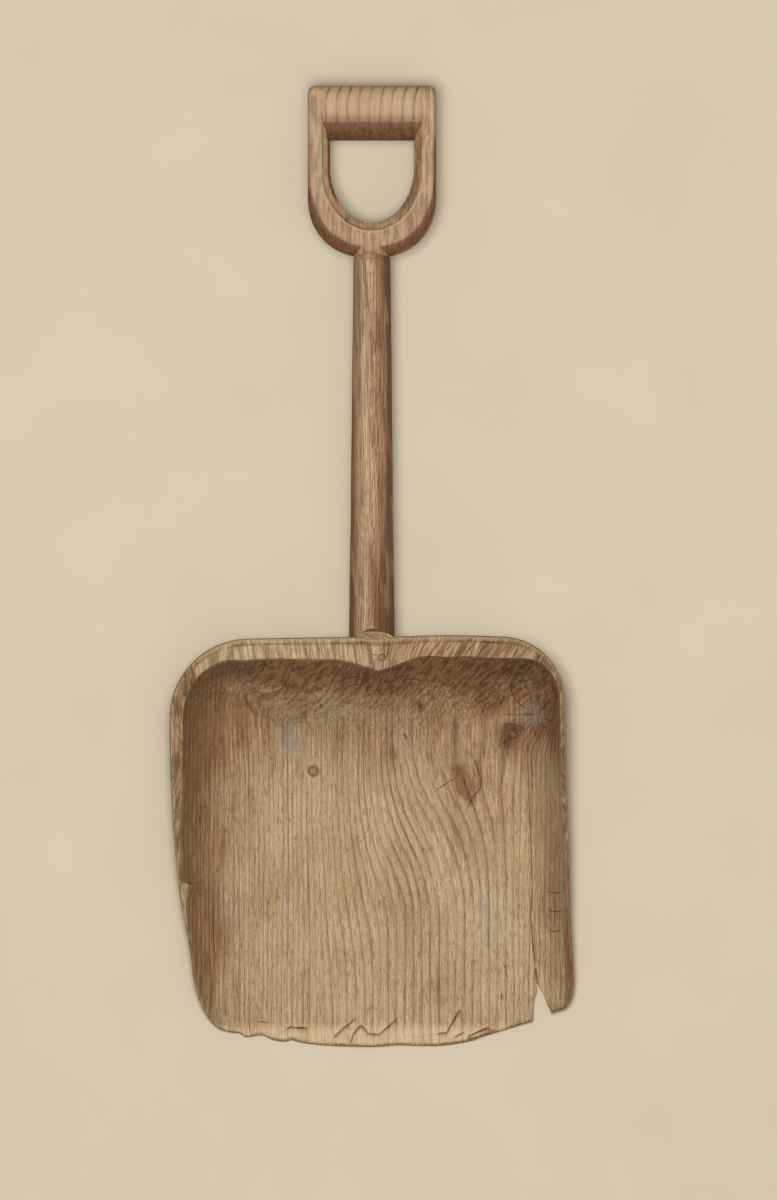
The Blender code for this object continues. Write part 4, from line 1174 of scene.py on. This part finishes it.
GRIP_CUTS = [(43.5, 412.0, 47.5, 404.5, 0.45), (47.5, 404.5, 52.0, 411.5, 0.45),
             (56.5, 392.5, 57.0, 391.0, 0.9)]
x, y, z = positions(grip).T
z = z - AXIS_Z
store(grip, "rings", grip_rings(x, y, z))
store(grip, "grain", np.stack([x + 0.0004 * mottle(x + z, y, 0.018, 0.022, 71), y, z], 1))
on_bar, inset, ledge = (read(grip, name) for name in ("side", "inset", "ledge"))
stain_and_shade, wear_and_highlight = grip_states(x, y, z, on_bar, inset, ledge)
store(grip, "stain_and_shade", stain_and_shade)
store(grip, "wear_and_highlight", wear_and_highlight)
off_bar = ease((0.396 - y) / 0.006) + ease((np.abs(x) - 0.0440) / 0.0040)
under_bar = (on_bar > 0.5) * ease((ledge + 0.0030) / 0.0060)
store(grip, "hewn", np.maximum(0.60 * off_bar.clip(0, 1), 0.70 * under_bar))
store(grip, "strokes", np.stack([0.8 * x, 0.7 * y, z], 1))
cut_side, cut_width = mark_fields(x, y, GRIP_CUTS)
store(grip, "cut_side", np.where(z > 0, cut_side, NO_MARK))
store(grip, "cut_width", np.where(z > 0, cut_width, NO_MARK))
print("grip stain, mean:", round(float(stain_and_shade.mean()), 2))

# %% [markdown]
# ## Pegs, plug and wedges
# Nothing here is nailed or glued. A peg through the back wall locks the shaft's tenon, a plug fills a hole
# in the floor, and a wedge in a saw cut spreads the tenon at each end of the shaft. All four are small and
# mostly out of sight, and they have to fill their holes exactly. So they keep the fixed shape they have,
# and only gain a timber of their own: rings round the peg and plug, as on the cut end of a stick.

# %% Fixings
FIXING_RING = 0.0012


def fixing(name, node):
    """A copy of a fixed piece with its loose triangles joined up, and its own rings and grain."""
    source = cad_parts[node]
    obj = bpy.data.objects.new(name, source.data.copy())
    bpy.context.scene.collection.objects.link(obj)
    join_up(obj.data, 0.00001)
    x, y, z = positions(obj).T
    store(obj, "rings", np.hypot(x - x.mean(), y - y.mean()) / FIXING_RING)
    store(obj, "grain", np.stack([x, z, y], 1))
    for layer in ("stain_and_shade", "wear_and_highlight", "grey", "cut_width"):
        store(obj, layer, 0 * x)
    return obj


peg = fixing("tenon_peg", "pan_tenon_peg")
plug = fixing("plug", "floor_plug")
fox_wedge = fixing("fox_wedge", "pan_tenon_wedge")
end_wedge = fixing("end_wedge", "grip_tenon_wedge")
print("fixings:", [obj.name for obj in (peg, plug, fox_wedge, end_wedge)])

# %% [markdown]
# ## Hand every piece over
# The shovel has no moving part, so every piece rides on the one body. Each takes the place of the plain
# solid that fixed its size. Smooth shading with sharp edges kept past an angle leaves the chipped and sawn
# edges crisp without more faces.

# %% Finishes, shading and the body they ride on
SHARP_FROM = radians(32)
for obj, node, slot, finish in ((pan, "scoop", "weathered_wood", pan_finish),
                                (shaft, "shaft", "handled_wood", handle_finish),
                                (grip, "d_grip", "handled_wood", grip_finish),
                                (peg, "pan_tenon_peg", "peg_wood", fixing_finish),
                                (plug, "floor_plug", "peg_wood", fixing_finish),
                                (fox_wedge, "pan_tenon_wedge", "handled_wood", handle_finish),
                                (end_wedge, "grip_tenon_wedge", "handled_wood", handle_finish)):
    obj.data.materials.clear()
    obj.data.materials.append(finish)
    obj.data.shade_smooth()
    obj.data.set_sharp_from_angle(angle=SHARP_FROM)
    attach(obj, "root")
    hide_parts(node)

# %% [markdown]
# ## Where it lies, and how it is seen
# The shovel lies on its flat underside and is seen from straight above, as tools are drawn for a record. A
# long lens from far up keeps the grip, which stands higher, at the same scale as the lip.

# %% Floor and camera
CAMERA_X, CAMERA_Y, CAMERA_HEIGHT = 0.0157, -0.0310, 14.0
VIEW_HEIGHT, MIDDLE_Z = 1.14, 0.06  # how much is seen from top to bottom, at the shovel's middle height
FLOOR_HALF, FLOOR_Z = 3, -0.0005


def paper_finish():
    """A warm pale board, barely mottled."""
    made = bpy.data.materials.new("pale board")
    made.use_nodes = True
    tree = made.node_tree
    place = add(tree, "ShaderNodeTexCoord").outputs["Object"]
    cloudy = ramp(tree, noise(tree, place, 9.0, 5.0), [(0.3, 0.0), (0.7, 1.0)])
    colour = mixed(tree, cloudy, (0.545, 0.462, 0.337), (0.570, 0.488, 0.360))
    tree.links.new(colour, tree.nodes["Principled BSDF"].inputs["Base Color"])
    tree.nodes["Principled BSDF"].inputs["Roughness"].default_value = 0.9
    return made


floor_corners = [(a * FLOOR_HALF, b * FLOOR_HALF, FLOOR_Z) for a, b in ((-1, -1), (1, -1), (1, 1), (-1, 1))]
floor = make_mesh("floor", floor_corners, [(0, 1, 2, 3)])
floor.data.materials.append(paper_finish())

lens = bpy.data.cameras.new("camera")
camera = bpy.data.objects.new("camera", lens)
bpy.context.scene.collection.objects.link(camera)
camera.location = (CAMERA_X, CAMERA_Y, CAMERA_HEIGHT)
lens.sensor_fit, lens.sensor_height = "VERTICAL", 24
lens.lens = lens.sensor_height * (CAMERA_HEIGHT - MIDDLE_Z) / VIEW_HEIGHT
lens.clip_end = 60
bpy.context.scene.camera = camera
print("lens:", round(lens.lens), "mm on a", lens.sensor_height, "mm sensor")

# %% [markdown]
# ## Light
# Most of the light falls from one soft lamp, high overhead and a little to the upper left. The shadows
# then stay short and close under the shovel, and the hollow's back and left walls turn gently away from
# the light. A wider, weaker lamp on the other side and an even surround keep the shaded sides open. A low
# lamp would show the hollow better, but would throw a long shadow across the board.

# %% Two lamps and an even surround
def lamp(name, place, size, power):
    """A square lamp that faces the shovel's middle."""
    light = bpy.data.lights.new(name, "AREA")
    light.size, light.energy = size, power
    obj = bpy.data.objects.new(name, light)
    bpy.context.scene.collection.objects.link(obj)
    obj.location = place
    obj.rotation_euler = (-Vector(place)).to_track_quat("-Z", "Y").to_euler()
    return obj


lamps = [lamp("key", (-0.16, 0.20, 4.5), 0.9, 180), lamp("fill", (0.7, -0.6, 4.6), 2.4, 24)]  # metres, watts
world = bpy.data.worlds.new("even surround")
bpy.context.scene.world = world
world.use_nodes = True
world.node_tree.nodes["Background"].inputs["Color"].default_value = (1.0, 0.98, 0.95, 1.0)
world.node_tree.nodes["Background"].inputs["Strength"].default_value = 0.25
bpy.context.scene.view_settings.view_transform = "Standard"
print("lamps:", [obj.name for obj in lamps])
